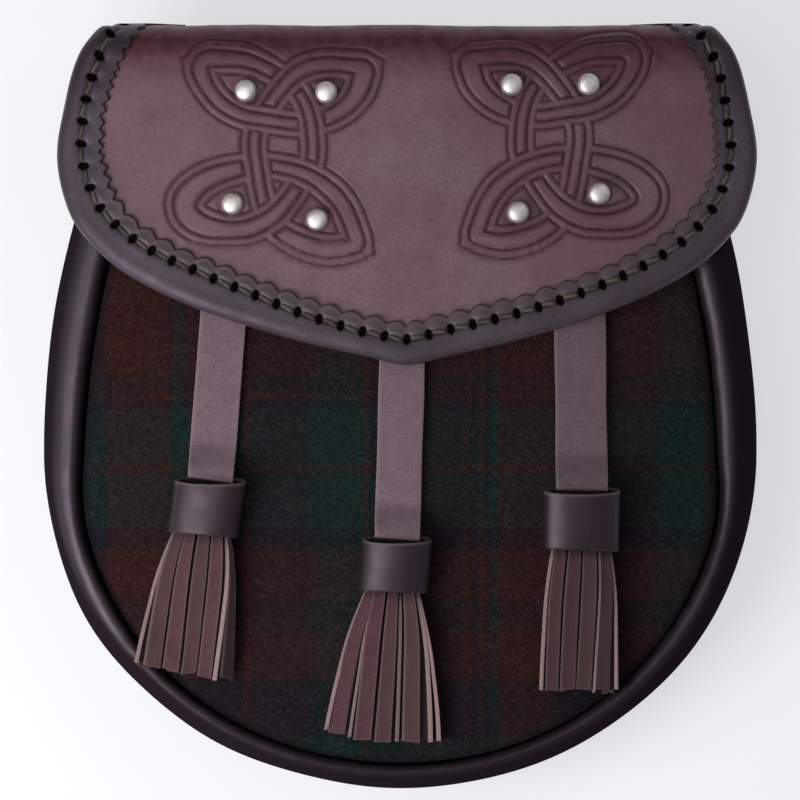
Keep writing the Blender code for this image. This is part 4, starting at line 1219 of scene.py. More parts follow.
def build_binding(seam, material):
    """Thin leather folded over the flap's edge, pinked along its inner edge and sewn through."""
    columns = int(seam.length / (0.36 * MM))
    at = np.linspace(0.0, seam.length, columns)
    holes = seam.holes()
    low_share = seam.lowness(at)
    tooth = blend(SIDE_TOOTH, seam.length / len(holes), low_share)
    phase = np.concatenate(([0.0], np.cumsum(np.diff(at) / tooth[1:])))
    saw = 2.0 * np.abs(phase - np.floor(phase) - 0.5)
    chance = np.random.default_rng(3)
    teeth = np.arange(int(phase[-1]) + 2)
    uneven = np.interp(phase, teeth, chance.uniform(-0.22, 0.22, len(teeth)))
    saw = blend(saw, np.sin(saw * math.pi / 2), low_share)
    seam_inset = seam.stitches(at)
    width = seam.pinked(at) + (saw - 0.5) * TOOTH_DEPTH + uneven * MM
    front_end = 0.30
    front = np.concatenate(([1.0, 1.0, 0.985], np.linspace(0.96, front_end, 26)))
    rows = []
    for share in front:
        inset = FRONT_FROM + (width - FRONT_FROM) * (share - front_end) / (1.0 - front_end)
        rows.append((inset, binding_lift(inset, seam_inset)))
    rows[0] = (rows[0][0], np.full(columns, FLAP_THICKNESS / 2 + 0.05 * MM))
    rows[1] = (rows[1][0], rows[1][1] - 0.22 * MM)
    for inset_mm in TURN_ROWS:
        inset = np.full(columns, inset_mm * MM)
        rows.append((inset, binding_lift(inset, seam_inset)))
    for inset_mm in REAR_ROWS:
        inset = np.full(columns, inset_mm * MM)
        rows.append((inset, -binding_lift(inset, REAR_SEAM)))
    for row in INNER_ROWS:
        rows.append((np.full(columns, row["inset"] * MM), np.full(columns, row["lift"] * MM)))
    inset = np.array([row[0] for row in rows])
    lift = np.array([row[1] for row in rows])
    outer_rows = len(front) + len(TURN_ROWS)
    nearest = np.abs(at[:, None] - holes[None, :])
    off_hole = nearest.min(axis=1)
    hole = np.full(inset.shape, FAR_MM)
    from_seam = inset[:outer_rows] - seam_inset[None, :]
    hole[:outer_rows] = np.hypot(off_hole[None, :] / HOLE_SHAPE[0], from_seam / HOLE_SHAPE[1]) / MM
    lift[:outer_rows] -= HOLE_DEPTH * bump_at(hole[:outer_rows], 0.85)
    between = 0.5 + 0.5 * np.cos(off_hole / STITCH_PITCH * 2.0 * math.pi)
    puffed = bump_at(from_seam - 0.0017, 0.0011) * (1.0 - between)[None, :]
    lift[:outer_rows] += 0.00030 * puffed
    standing = seam.upright(at)[None, :]
    lift[:outer_rows] = blend(lift[:outer_rows], lift[:outer_rows] * STANDING_LIFT, standing)
    lift[2:len(front)] = np.maximum(lift[2:len(front)], HOLE_FLOOR)
    points = seam.place(np.repeat(at[None, :], len(rows), axis=0), inset, lift)
    wave = 0.10 * MM * soft_waves(points[..., 0], points[..., 1], 0.016, 21)
    points[:outer_rows, :, 2] += wave[:outer_rows]
    faces = grid_faces(len(rows), columns, closed_rows=True) + end_faces(len(rows), columns)
    pinked = np.full(inset.shape, FAR_MM)
    pinked[:len(front)] = np.abs(width[None, :] - inset[:len(front)]) / MM
    seam_mm = np.full(inset.shape, FAR_MM)
    seam_mm[:outer_rows] = from_seam / MM
    low = np.repeat(low_share[None, :], len(rows), axis=0)
    fold = np.repeat(seam.near_fold(at)[None, :], len(rows), axis=0)
    rim_mm = np.zeros(inset.shape)
    rim_mm[:outer_rows] = inset[:outer_rows] / MM
    attributes = {
        "hole_mm": hole, "pinked_mm": pinked, "seam_mm": seam_mm, "low": low, "near_fold": fold,
        "rim_mm": rim_mm}
    made = piece("pinked_binding", points, faces, material, attributes)
    weld(made, WELD)
    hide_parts("flap_binding")


def build_stitches(seam, material):
    """Thick thread from hole to hole, each stitch slanting across the seam and down into its holes."""
    holes = seam.holes()
    tubes = []
    shade = []
    share = np.linspace(0.0, 1.0, 15)
    uneven = 0.08 * MM
    chance = np.random.default_rng(11)
    for here, there in zip(holes, holes[1:]):
        at = blend(here, there, 0.09 + 0.82 * share) + chance.normal(0.0, uneven)
        slant = 0.45 * MM * (1.0 - 2.0 * share) + chance.normal(0.0, uneven)
        inset = seam.stitches(at) + slant
        dip = smooth_step((np.abs(2.0 * share - 1.0) - 0.40) / 0.58)
        lift = BINDING_REACH - SEAM_SINK + THREAD_RADIUS * 0.45 - STITCH_DIVE * dip
        lift = blend(lift, lift * STANDING_LIFT, seam.upright(at))
        line = seam.place(at, inset, lift)
        girth = THREAD_RADIUS * blend(1.0, 0.7, dip)
        tubes.append(rope(line, girth, THREAD_SIDES, 2.0 * math.pi / THREAD_LAY))
        shade.append(np.repeat(smooth_step(dip * 1.6), THREAD_SIDES))
    tube_group("flap_stitches", tubes, material, {"shade": np.concatenate(shade)})


# The body

def build_gusset(material):
    """The band from the back's seam to the rolled border, with soft creases where it turns the bottom."""
    outline = body_path(BODY_TOP_Y, 70, 240)
    normals = path_normals(outline)
    table = [(row["flange"], row["roll"], row["height"]) for row in GUSSET_SECTION]
    section = through_points(table, 5)
    run = run_lengths(outline)
    roll = roll_width(normals) - BAND_THICKNESS
    turned_away = smooth_step((normals[:, 0] - normals[:, 1] + 1.0) / 1.2)
    crest_share = blend(*CREST_AT, turned_away)
    polish_from = blend(*POLISH_FROM, turned_away)
    outer = []
    inward_mm = []
    crest = []
    polished = []
    for flange, roll_share, height in section:
        inward = BAND_THICKNESS / 2 + flange * FLANGE_WIDTH + roll * roll_share
        x = outline[:, 0] - normals[:, 0] * inward
        y = outline[:, 1] - normals[:, 1] * inward
        z = np.full(len(run), FLANGE_Z + GUSSET_HEIGHT * height)
        outer.append(np.column_stack((x, y, z)))
        from_panel = (inward - roll - BAND_THICKNESS / 2) / MM
        inward_mm.append(from_panel if roll_share > 0.3 else np.full(len(run), -FAR_MM))
        # Where the roll is polished and lit; outside it, the border takes painted shade and less shine.
        polished.append(smooth_step((roll_share - polish_from) / blend(*POLISH_EASE, turned_away)))
        # The painted highlight along the crest, stronger on the side near the key light.
        crest.append(bump_at(roll_share - crest_share, CREST_WIDTH) * blend(*CREST_STRENGTH, turned_away))
    outer = np.array(outer)
    across = np.gradient(outer, axis=0)
    along = np.gradient(outer, axis=1)
    face = np.cross(across, along)
    face /= np.linalg.norm(face, axis=2)[..., None]
    if face[len(section) // 2, :, :2].ravel() @ normals.ravel() < 0.0:
        face = -face
    height_share = np.linspace(0.0, 1.0, len(section))[:, None]
    creases = soft_waves(run[None, :] + height_share * 0.004, height_share * 0.03, 0.007, 31)
    broad = soft_waves(run[None, :], height_share * 0.05, 0.045, 32)
    relief = 0.06 * creases * smooth_step((height_share - 0.55) / 0.3) + 0.20 * broad
    skin = outer + face * (BAND_THICKNESS / 2 + relief * MM)[..., None]
    lining = outer - face * (BAND_THICKNESS / 2)
    rows = np.concatenate((skin, lining[::-1]))
    count, columns = rows.shape[:2]
    faces = grid_faces(count, columns, closed_rows=True) + end_faces(count, columns)
    plain_lining = np.zeros(lining.shape[:2])
    fields = {"inward_mm": inward_mm, "polished": polished, "crest": crest}
    attributes = {title: np.concatenate((values, plain_lining)) for title, values in fields.items()}
    made = piece("rolled_gusset", rows, faces, material, attributes)
    weld(made, WELD)
    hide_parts("gusset")


def build_front(material):
    """The domed tartan front, drawn down into the groove inside the rolled border."""
    outline = body_path(MOUTH_Y, 50, 150)
    normals = path_normals(outline)
    border = outline - normals * (roll_width(normals) + CLEARANCE)[:, None]
    border[:, 1] = np.minimum(border[:, 1], MOUTH_Y)
    top = np.linspace(border[-1], border[0], 70)[1:-1]
    border = np.concatenate((border, top))
    middle = np.array((0.0, BODY_WIDEST_Y))
    rings = np.concatenate(([1.0, 0.992, 0.98], np.linspace(0.96, 0.04, 46)))
    rows = []
    edge_mm = []
    run = run_lengths(border)
    half_front = 80.0
    pucker_pitch = 0.0055
    for ring in rings:
        spot = middle + (border - middle) * ring
        z = panel_z(spot[:, 0], spot[:, 1])
        ease = 0.10 * soft_waves(spot[:, 0], spot[:, 1], 0.030, 41) * smooth_step((1.0 - ring) / 0.1)
        off_edge = (1.0 - ring) * half_front
        tuck = -0.9 * bump_at(off_edge, 1.5)
        pucker = 0.10 * np.sin(run / pucker_pitch * 2.0 * math.pi) * bump_at(off_edge - 3.0, 2.0)
        rows.append(np.column_stack((spot, z + (ease + tuck + pucker) * MM)))
        edge_mm.append(np.linalg.norm(border - spot, axis=1) / MM)
    outer = np.array(rows)
    inner = outer[::6][::-1].copy()
    inner[..., 2] -= PANEL_THICKNESS
    shell = np.concatenate((outer, inner))
    count, columns = shell.shape[:2]
    faces = grid_faces(count, columns, closed_columns=True)
    last = (count - 1) * columns
    faces += [[column, (column + 1) % columns, last + (column + 1) % columns, last + column]
              for column in range(columns)]
    centre = len(outer) - 1
    first_inner = centre + 1
    faces = [face for face in faces if (face[0] // columns, face[1] // columns) != (centre, first_inner)]
    top_middle = count * columns
    points = np.concatenate((shell.reshape(-1, 3), [
        (0.0, BODY_WIDEST_Y, PANEL_EDGE_Z + PANEL_CROWN),
        (0.0, BODY_WIDEST_Y, PANEL_EDGE_Z + PANEL_CROWN - PANEL_THICKNESS)]))
    for column in range(columns):
        following = (column + 1) % columns
        faces.append([centre * columns + column, top_middle, centre * columns + following])
        faces.append([first_inner * columns + column, first_inner * columns + following, top_middle + 1])
    near_edge = np.concatenate((np.array(edge_mm).ravel(), np.full(len(points) - outer[..., 0].size, FAR_MM)))
    made = piece("tartan_front", points, faces, material, {"edge_mm": near_edge})
    weld(made, WELD)
    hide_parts("front_panel")


def build_back(material, thread):
    """The flat back with its cut edge softened, and the row of stitches that holds the gusset to it."""
    outline = body_path(BACK_TOP_Y, 60, 160)
    normals = path_normals(outline)
    cut = outline - normals * (FLANGE_WIDTH * 0.14)
    cut = np.concatenate((cut, np.linspace(cut[-1], cut[0], 60)[1:-1]))
    middle = np.array((0.0, BODY_WIDEST_Y))
    half = BACK_THICKNESS / 2
    soft = 0.35 * MM
    level = BACK_UNDER_Z + half
    reach = np.linalg.norm(cut - middle, axis=1)[:, None]
    rows = []
    edge_rows = [(6.0 * MM, 1.0), (2.0 * MM, 1.0), (soft, 1.0), (soft * 0.3, 0.9), (0.0, 0.55)]
    edge_rows += [(inset, -share) for inset, share in reversed(edge_rows)]
    for inset, share in edge_rows:
        height = half * share
        spot = cut + (middle - cut) / reach * inset
        rows.append(np.column_stack((spot, np.full(len(spot), level + height))))
    for share in (0.75, 0.5, 0.25):
        spot = middle + (cut - middle) * share
        wave = 0.05 * MM * soft_waves(spot[:, 0], spot[:, 1], 0.03, 51)
        rows.append(np.column_stack((spot, level - half + wave)))
    points, faces = tube_parts(rows)
    made = piece("back_leather_panel", points, faces, material)
    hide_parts("back_panel")
    seam = outline[2:-2] - normals[2:-2] * BACK_STITCH["inset"]
    length = run_lengths(seam)
    count = int(length[-1] / BACK_STITCH["pitch"])
    tubes = []
    for index in range(count):
        along = np.linspace(index + 0.14, index + 0.86, 7) / count * length[-1]
        spots = [np.interp(along, length, seam[:, axis]) for axis in (0, 1)]
        tubes.append(under_stitch(np.column_stack(spots), BACK_UNDER_Z, BACK_STITCH))
    tube_group("back_seam_stitches", tubes, thread)


def under_stitch(spots, level, stitch, upright=(0.0, 0.0, 1.0)):
    """One stitch on an under side at this level, its ends drawn up into the leather."""
    dip = np.abs(np.linspace(-1.0, 1.0, len(spots))) ** 3
    line = np.column_stack((spots, level - STITCH_SINK + stitch["dip"] * dip))
    return rope(line, stitch["radius"], 8, BACK_TWIST, upright)


def build_belt_loops(material, thread):
    """Two leather loops with softened edges, each sewn down by a box of stitches at both its ends."""
    for side in ("left", "right"):
        node = f"belt_loop_{side}"
        low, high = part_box(node)
        middle_x = (low[0] + high[0]) / 2
        half_width = (high[0] - low[0]) / 2
        half_thick = LOOP_THICKNESS / 2
        at_rest = BACK_UNDER_Z - CLEARANCE - half_thick
        profile = through_points(LOOP_PROFILE, 9)
        rings = []
        for along, out in profile:
            y = LOOP_TOP_Y - LOOP_HEIGHT * along
            z = blend(at_rest, half_thick, min(1.0, max(0.0, out)))
            ring = []
            for across, height in ((-1, -1), (1, -1), (1, 1), (-1, 1)):
                for nudge_x, nudge_z in corner_steps(across, height, 0.4 * MM):
                    x = middle_x + across * half_width + nudge_x
                    ring.append((x, y, z + height * half_thick + nudge_z))
            rings.append(ring)
        points, faces = tube_parts(rings)
        made = piece(f"loop_leather_{side}", points, faces, material)
        weld(made, WELD)
        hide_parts(node)
        tubes = []
        box_half = half_width - LOOP_STITCH["inset"]
        for start_y in (LOOP_TOP_Y - 0.8 * MM, LOOP_TOP_Y - LOOP_HEIGHT * 0.86 - 0.2 * MM):
            low_y = start_y - LOOP_STITCH["pitch"]
            corners = np.array((
                (middle_x - box_half, start_y), (middle_x + box_half, start_y),
                (middle_x + box_half, low_y), (middle_x - box_half, low_y)))
            for first, last in zip(corners, np.roll(corners, -1, axis=0)):
                stitches = max(1, int(round(np.linalg.norm(last - first) / LOOP_STITCH["pitch"])))
                for index in range(stitches):
                    share = np.linspace((index + 0.15) / stitches, (index + 0.85) / stitches, 6)[:, None]
                    spots = first + (last - first) * share
                    tubes.append(under_stitch(spots, at_rest - half_thick, LOOP_STITCH, (0.13, 0.11, 1.0)))
        tube_group(f"loop_stitches_{side}", tubes, thread)


def corner_steps(across, height, corner):
    """Three points that round off one corner of a strap's section, going round."""
    side = -across * corner
    rise = -height * corner
    steps = ((side, 0.0), (side * 0.3, rise * 0.3), (0.0, rise))
    return steps if across * height > 0 else steps[::-1]


# Studs and closure

def turned(name, profile, sides, material, place, normal):
    """A turned piece: its profile as (radius, height) from the middle of its top, set on a face."""
    normal = np.asarray(normal) / np.linalg.norm(normal)
    side = np.cross(normal, (0.0, 1.0, 0.0))
    side /= np.linalg.norm(side)
    back = np.cross(normal, side)
    angle = 2.0 * math.pi * np.arange(sides) / sides
    rings = []
    for radius, height in profile:
        spread = radius * (np.cos(angle)[:, None] * side + np.sin(angle)[:, None] * back)
        rings.append(np.asarray(place) + normal * height + spread)
    points, faces = tube_parts(rings)
    made = piece(name, points, faces, material)
    weld(made, STUD_WELD)
    return made


def build_studs(metal):
    """Domed caps with a fine rolled brim, each set where its row of the table puts it, in place of its node.
    """
    radius = STUD_DIAMETER / 2
    for number, row in enumerate(STUD_ROWS, start=1):
        x, run = stud_place(row)
        normal = flap_normals(x, run)
        seat = flap_points(x, run) + normal * (FLAP_THICKNESS / 2 + CLEARANCE)
        profile = []
        for step in range(1, DOME_STEPS + 1):
            angle = step / DOME_STEPS * math.pi / 2
            reach = radius * 0.97 * math.sin(angle) ** 0.90
            profile.append((reach, STUD_BRIM + (STUD_HEIGHT - STUD_BRIM) * math.cos(angle) ** 0.66))
        profile += [
            (radius * 0.985, STUD_BRIM * 0.95), (radius, STUD_BRIM * 0.6), (radius * 0.98, 0.0),
            (radius * 0.5, -0.1 * MM)]
        chance = np.random.default_rng(60 + number)
        lean = normal + np.append(chance.normal(0.0, 0.02, 2), 0.0)
        made = turned(f"polished_stud_{number}", profile, 48, metal, seat, lean)
        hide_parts(f"stud_{number}")
    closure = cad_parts["press_stud"]
    closure.data.materials.clear()
    closure.data.materials.append(metal)


# Tassels

class Tassel:
    """One tassel's own frame on the front panel: across it, down it, and off the panel."""

    def __init__(self, row):
        self.top = self.on_face(row["top"])
        self.cap = self.on_face(row["cap"])
        self.tip = self.on_face(row["tip"])
        self.painted_dimming = row["painted_dimming"]
        self.strap_width = STRAP_WIDTH * row["strap"]
        self.cap_width = CAP_WIDTH * row["cap_width"]
        self.cap_height = CAP_HEIGHT * row["cap_height"]
        self.slants = (math.tan(math.radians(row["slant_top"])), math.tan(math.radians(row["slant_low"])))
        self.length = np.linalg.norm(self.tip - self.cap)
        self.down = (self.tip - self.cap) / self.length
        self.across = np.array((-self.down[1], self.down[0]))

    def on_face(self, shares):
        """A place given in shares of the body, in metres."""
        return np.array((shares[0] * BODY_HALF_WIDTH, BODY_WIDEST_Y + shares[1] * BODY_DROP))

    def points(self, across, down, height):
        """Places over the front for lengths across and down the tassel and heights off the front."""
        across, down, height = np.broadcast_arrays(across, down, height)
        x = self.cap[0] + self.across[0] * across + self.down[0] * down
        y = self.cap[1] + self.across[1] * across + self.down[1] * down
        return np.stack((x, y, rest_z(x, y) + height), axis=-1)

    def tilt(self, down):
        """How far the cap's middle is tilted off the front there."""
        return np.maximum(0.0, self.cap_height - down) * math.tan(TASSEL_TILT)


def build_cap(side, tassel, material):
    """A band of leather rolled round the tassel's head, its ends cut square. The rear lip stands above
    the front one, so the opening, with painted shade inside, shows between them."""
    height = tassel.cap_height
    sides = 120
    angle = 2.0 * math.pi * np.arange(sides) / sides
    rear = 0.5 - 0.5 * np.sin(angle)
    soft = CAP_EDGE_EASE
    stations = [(0.0, soft), (soft * 0.4, soft * 0.25), (soft, 0.0)]
    stations += [(height * share, 0.0) for share in np.linspace(0.06, 0.94, 16)]
    stations += [(height - soft, 0.0), (height - soft * 0.4, soft * 0.25), (height, soft)]
    outer_count = len(stations)
    edge_ease = CAP_WALL - 0.1 * MM
    stations += [(height - 0.1 * MM, edge_ease), (height - 0.5 * MM, CAP_WALL), (height / 2, CAP_WALL)]
    stations += [(1.6 * MM, CAP_WALL), (0.9 * MM, CAP_WALL), (0.4 * MM, CAP_WALL), (0.0, edge_ease)]
    rings = []
    inside = []
    pale_lip_edge = []
    for index, (along, inset) in enumerate(stations):
        down = along - CAP_LIP_RISE * rear * (1.0 - along / height) ** 2
        rings.append(cap_ring(tassel, down, angle, tassel.cap_width - 2 * inset, CAP_DEPTH - 2 * inset))
        lining = index >= outer_count
        # Painted shade on the lining, past the first millimetre below the lip.
        inside.append(np.full(sides, smooth_step((along / MM - 0.3) / 0.5) if lining else 0.0))
        # The lips' edges painted pale: raw cut leather, with a painted highlight on them.
        at_front = 0.65 * bump_at(along / MM, 0.30) if not lining else 0.0
        at_rear = bump_at(along / MM, 0.55) if lining else 0.6
        pale_lip_edge.append(blend(at_front, at_rear * (along < 1.0 * MM), rear ** 2))
    rings = np.array(rings)
    wave = soft_waves(rings[..., 0], rings[..., 1], 0.008, 71)
    rings[:outer_count, :, 2] += 0.05 * MM * wave[:outer_count]
    faces = grid_faces(len(rings), sides, closed_rows=True, closed_columns=True)
    attributes = {"inside": np.array(inside), "cut_edge_and_glint": np.array(pale_lip_edge)}
    made = piece(f"rolled_cap_{side}", rings, faces, material, attributes)
    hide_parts(f"tassel_cap_{side}")


def cap_ring(tassel, down, angle, width, depth):
    """One ring of the cap, flattened front and rear and slanting as the tassel's row says."""
    middle = CLEARANCE + CAP_DEPTH / 2 + tassel.tilt(down)
    across = np.sign(np.cos(angle)) * np.abs(np.cos(angle)) ** CAP_SIDE_POWER
    up = np.sign(np.sin(angle)) * np.abs(np.sin(angle)) ** CAP_FRONT_POWER
    slant = blend(tassel.slants[0], tassel.slants[1], np.clip(down / tassel.cap_height, 0.0, 1.0))
    return tassel.points(width / 2 * across, down - slant * width / 2 * across, middle + depth / 2 * up)


def build_strap(side, tassel, material):
    """A suede strap on the tartan from under the flap, over the cap's rear lip and down into the cap."""
    run = np.linalg.norm(tassel.cap - tassel.top)
    direction = (tassel.cap - tassel.top) / run
    stations = np.concatenate((np.linspace(0.0, run - 4.5 * MM, 84), np.linspace(run - 4.2 * MM, run, 20)))
    places = tassel.top + stations[:, None] * direction
    tucks = tassel.cap + tassel.down * np.linspace(0.0, STRAP_TUCK, 5)[1:, None]
    places = np.concatenate((places, tucks))
    left_over = (tassel.cap - places) @ direction
    entering = 1.0 - smooth_step((left_over - CAP_LIP_RISE) / STRAP_RISE)
    within = smooth_step((CAP_LIP_RISE - 0.7 * MM - left_over) / (0.5 * MM))
    flat_height = CLEARANCE + STRAP_THICKNESS / 2
    raised = CLEARANCE + CAP_DEPTH / 2 + tassel.tilt(0.0) - STRAP_CURL
    lift = blend(flat_height, raised, entering)
    lift = lift - 1.3 * MM * smooth_step((CAP_LIP_RISE - 0.5 * MM - left_over) / CAP_LIP_RISE)
    half = np.minimum(tassel.strap_width / 2, blend(1.0, tassel.cap_width / 2 - CAP_WALL - 0.9 * MM, within))
    chance_side = soft_waves(places[:, 0], places[:, 1], 0.020, 81)
    section = strap_section(17)
    rings = []
    cut = []
    shade = []
    for index, place in enumerate(places):
        across = section[:, 0] * (half[index] + 0.12 * MM * chance_side[index])
        curl = np.abs(section[:, 0]) ** 2 * STRAP_CURL * entering[index]
        x = place[0] + tassel.across[0] * across
        y = place[1] + tassel.across[1] * across
        ripple = 0.10 * MM * soft_waves(x, y, 0.013, 82)
        face = section[:, 1] * STRAP_THICKNESS / 2 + ripple * (section[:, 1] > 0.0)
        z = rest_z(x, y) + lift[index] + curl + face
        rings.append(np.column_stack((x, y, z)))
        side_edge = bump_at((1.0 - np.abs(section[:, 0])) * half[index] / MM, 0.42)
        # A painted highlight across the strap where it bends over the cap's rear lip.
        lip_highlight = 0.55 * bump_at((left_over[index] - CAP_LIP_RISE + 0.45 * MM) / MM, 0.25)
        cut.append(np.maximum(side_edge, lip_highlight))
        # Painted shade inside the cap, and over the right strap, where the light falls off.
        shade.append(np.full(len(section), np.maximum(within[index], tassel.painted_dimming)))
    attributes = {"cut_edge_and_glint": np.array(cut), "shade": np.array(shade)}
    points, faces = tube_parts(rings)
    made = piece(f"suede_strap_{side}", points, faces, material, attributes)
    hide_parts(f"tassel_strap_{side}")


def strap_section(across_steps):
    """A flat strap's section going once round, as shares of half its width and half its thickness."""
    top = [(share, 1.0) for share in np.linspace(-0.955, 0.955, across_steps)]
    right = [(0.985, 0.88), (1.0, 0.45), (1.0, -0.45), (0.985, -0.88)]
    under = [(share, -1.0) for share in np.linspace(0.955, -0.955, 7)]
    left = [(-0.985, -0.88), (-1.0, -0.45), (-1.0, 0.45), (-0.985, 0.88)]
    return np.array(top + right + under + left)


def mouth_rise(tassel, across):
    """How far above the cap's middle a strip may lie in its mouth, at a place across it."""
    inner = tassel.cap_width / 2 - CAP_WALL - 0.4 * MM
    share = np.clip(abs(across) / inner, 0.0, 1.0)
    room = CAP_DEPTH / 2 - CAP_WALL - STRIP_THICKNESS
    return room * (1.0 - share ** (2.0 / CAP_SIDE_POWER)) ** (CAP_FRONT_POWER / 2.0)


def build_fringe(side, tassel, material):
    """Cut strips out of the cap's mouth: the front ones as the table places them, some turned on edge,
    over two layers in painted shade."""
    chance = np.random.default_rng(FRINGE_SEEDS[side])
    mouth = tassel.cap_height + CLEARANCE
    floor = CLEARANCE + STRIP_THICKNESS / 2
    middle = CLEARANCE + CAP_DEPTH / 2
    strips = [dict(row, level=1.0, finish=FRONT_FINISH) for row in FRONT_STRIPS[side]]
    first = FRONT_STRIPS[side][0]
    last = FRONT_STRIPS[side][-1]
    for level, shade in UNDER_LAYERS:
        for index in range(UNDER_STRIPS):
            share = (index + 0.5) / UNDER_STRIPS
            strips.append({
                "mouth": blend(first["mouth"], last["mouth"], 0.03 + 0.94 * share) * 0.96,
                "end": blend(first["end"], last["end"], 0.02 + 0.95 * share),
                "root": abs(last["mouth"] - first["mouth"]) / UNDER_STRIPS * 0.95,
                "wide": abs(last["end"] - first["end"]) / UNDER_STRIPS * 0.88,
                "turn": chance.uniform(-16.0, 16.0), "reach": tassel.length / MM + chance.uniform(-0.9, 0.5),
                "level": blend(-0.6, 0.5, level), "finish": blend(floor + 0.3 * MM, UNDER_FINISH, level),
                "shade": shade,
            })
    section = strap_section(7)
    share = np.concatenate(([-0.06, 0.0], np.linspace(0.03, 0.992, 28), [1.0]))
    open_share = np.clip(share, 0.0, 1.0)
    tubes = []
    cut = []
    shade = []
    tone = []
    for strip in strips:
        reach = strip["reach"] * MM + chance.uniform(-0.12, 0.12) * MM
        down = mouth + share * (reach - mouth)
        settled = blend(open_share, smooth_step(open_share), 0.35)
        bends = open_share * chance.uniform(2.0, 5.0)
        sway = 0.12 * MM * np.sin(bends + chance.uniform(0.0, 6.0)) * open_share
        on_edge = abs(strip["turn"]) > ON_EDGE_TURN
        squeeze = (tassel.cap_width / 2 - CAP_WALL - 0.3 * MM) / TABLE_MOUTH
        gather = blend(squeeze, 1.0, 1.0 - (1.0 - np.clip(open_share / GATHER_SHARE, 0.0, 1.0)) ** 2)
        centre = blend(strip["mouth"], strip["end"], settled) * MM * gather + sway
        inner_reach = (abs(strip["mouth"]) + 0.4 * strip["root"]) * MM * squeeze
        start = middle + strip["level"] * mouth_rise(tassel, inner_reach)
        half = blend(strip["root"], strip["wide"], settled) * MM / 2 * gather
        height = blend(start, strip["finish"], smooth_step(open_share * 1.1))
        turn = math.radians(strip["turn"]) * smooth_step((open_share + 0.04) / 0.12)
        if on_edge:
            half = np.full(len(share), STRIP_THICKNESS * 1.25)
            height = height - half * blend(1.0, 0.5, open_share)
            turn = np.full(len(share), math.radians(strip["turn"]))
        thick = blend(strip["root"], strip["wide"], settled) * MM / 2 if on_edge else STRIP_THICKNESS / 2
        thick = np.broadcast_to(thick, share.shape)
        slant = chance.normal(0.0, 0.25) * MM
        rings = []
        edges = []
        for step in range(len(share)):
            flat = section[:, 0] * half[step]
            up = section[:, 1] * thick[step] + 0.16 * MM * section[:, 0] ** 2 * (not on_edge)
            across = centre[step] + flat * math.cos(turn[step]) - up * math.sin(turn[step])
            rise = height[step] + flat * math.sin(turn[step]) + up * math.cos(turn[step])
            end = slant * section[:, 0] * (open_share[step] > 0.97)
            rings.append(tassel.points(across, down[step] + end, rise))
            edges.append(bump_at((1.0 - np.abs(section[:, 0])) * half[step] / MM, 0.20))
        edges[-1] = np.ones(len(section))
        tubes.append(rings)
        paleness = chance.uniform(0.85, 1.0) if on_edge else chance.uniform(0.05, 0.40)
        cut.append(np.array(edges).ravel() * paleness)
        # Painted shade where the strips come out from under the cap.
        cap_mouth_shade = 0.50 * bump_at(open_share * tassel.length / MM, 2.0)
        painted_dimming = np.clip(strip["shade"] + cap_mouth_shade, 0.0, 0.92)
        shade.append(np.repeat(painted_dimming, len(section)))
        tone.append(np.full(len(share) * len(section), chance.uniform(0.0, 1.0)))
    fields = {"cut_edge_and_glint": cut, "shade": shade, "tone": tone}
    attributes = {title: np.concatenate(values) for title, values in fields.items()}
    made = tube_group(f"suede_fringe_{side}", tubes, material, attributes)
    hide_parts(f"tassel_fringe_{side}")


def build_tassels(materials):
    for side, row in TASSELS.items():
        tassel = Tassel(row)
        build_strap(side, tassel, materials["strap"])
        build_cap(side, tassel, materials["cap"])
        build_fringe(side, tassel, materials["fringe"])


# The studio, in metres: the photo shows a square of PHOTO_SIDE at the level of the pouch's face

FLOOR_REACH = 3.0
FLOOR_GAP = 0.0002
CAMERA_HEIGHT = 4.0
FOCUS_LEVEL = 0.035
PHOTO_SIDE = 0.200
PHOTO_MIDDLE_Y = 0.001
SENSOR_MM = 36.0
AIR_STRENGTH = 0.14
LIGHTS = (
    {"name": "key", "place": (-0.31, -0.19, 0.38), "aim": (-0.01, 0.0, 0.03), "side": 0.34, "power": 1.72},
    {"name": "top", "place": (-0.26, 0.02, 0.88), "aim": (0.0, 0.0, 0.03), "side": 0.70, "power": 1.6},
    {"name": "fill", "place": (0.70, 0.60, 0.90), "aim": (0.0, 0.0, 0.03), "side": 0.8, "power": 1.2},
)


def soft_light(name, place, aim, side, power):
    """A square soft light: its place and aim in metres, its side in metres and its power in watts."""
    lamp = bpy.data.lights.new(name, "AREA")
    lamp.shape = "SQUARE"
    lamp.size = side
    lamp.energy = power
    made = bpy.data.objects.new(name, lamp)
    made.location = place
    made.rotation_euler = (Vector(aim) - Vector(place)).to_track_quat("-Z", "Y").to_euler()
    bpy.context.scene.collection.objects.link(made)


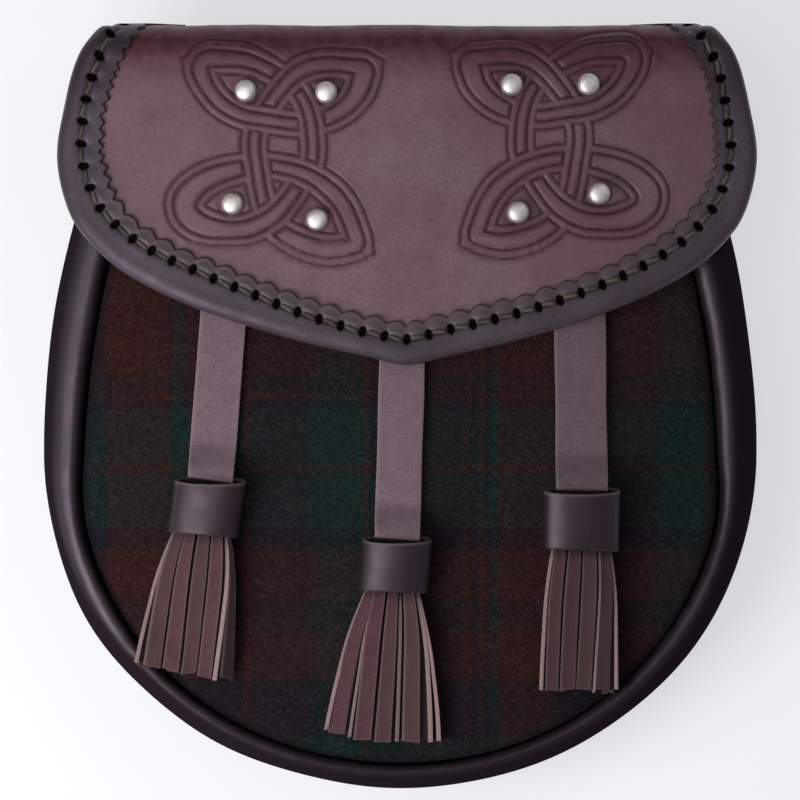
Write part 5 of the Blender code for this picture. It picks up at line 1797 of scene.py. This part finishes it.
def build_studio():
    """Pale floor, a soft key light low on the left, a broad one overhead, a weak one from the upper
    right, and the camera straight above."""
    floor_mesh = bpy.data.meshes.new("floor")
    signs = ((-1, -1), (1, -1), (1, 1), (-1, 1))
    corners = [(across * FLOOR_REACH, up * FLOOR_REACH, 0.0) for across, up in signs]
    floor_mesh.from_pydata(corners, [], [(0, 1, 2, 3)])
    floor = bpy.data.objects.new("floor", floor_mesh)
    bpy.context.scene.collection.objects.link(floor)
    floor.location.z = -FLOOR_GAP
    paper = Surface(
        "studio floor", Roughness=0.9, Specular_IOR_Level=0.1, Base_Color=linear("#b0b0b2"),
        Emission_Color=linear("#f7f7fa"), Emission_Strength=0.65)
    floor_mesh.materials.append(paper.material)
    for row in LIGHTS:
        soft_light(**row)
    world = bpy.data.worlds.new("studio air")
    world.use_nodes = True
    air = world.node_tree.nodes["Background"]
    air.inputs["Color"].default_value = linear("#fafafc")
    air.inputs["Strength"].default_value = AIR_STRENGTH
    bpy.context.scene.world = world
    bpy.context.scene.view_settings.view_transform = "Standard"
    camera_data = bpy.data.cameras.new("camera")
    camera_data.sensor_width = SENSOR_MM
    camera_data.lens = SENSOR_MM * (CAMERA_HEIGHT - FOCUS_LEVEL) / PHOTO_SIDE
    camera_data.clip_end = 20.0
    camera = bpy.data.objects.new("camera", camera_data)
    camera.location = (0.0, PHOTO_MIDDLE_Y, CAMERA_HEIGHT)
    bpy.context.scene.collection.objects.link(camera)
    bpy.context.scene.camera = camera


def main():
    materials = {
        "flap": flap_leather(),
        "binding": binding_leather(),
        "thread": thread_fibre(),
        "border": border_leather(),
        "back": back_leather(),
        "cap": cap_leather(),
        "strap": suede("strap suede", "#836c77", "#735c68", "#56424c", "#8e7b78", "#7a6a6a"),
        "fringe": suede("fringe suede", "#5e3f44", "#503639", "#34232a", "#ab9190", "#57443f"),
        "tartan": tartan_cloth(),
        "metal": stud_metal(),
    }
    build_flap(materials["flap"])
    seam = Seam()
    build_binding(seam, materials["binding"])
    build_stitches(seam, materials["thread"])
    build_gusset(materials["border"])
    build_front(materials["tartan"])
    build_back(materials["back"], materials["thread"])
    build_belt_loops(materials["back"], materials["thread"])
    build_studs(materials["metal"])
    build_tassels(materials)
    build_studio()


main()
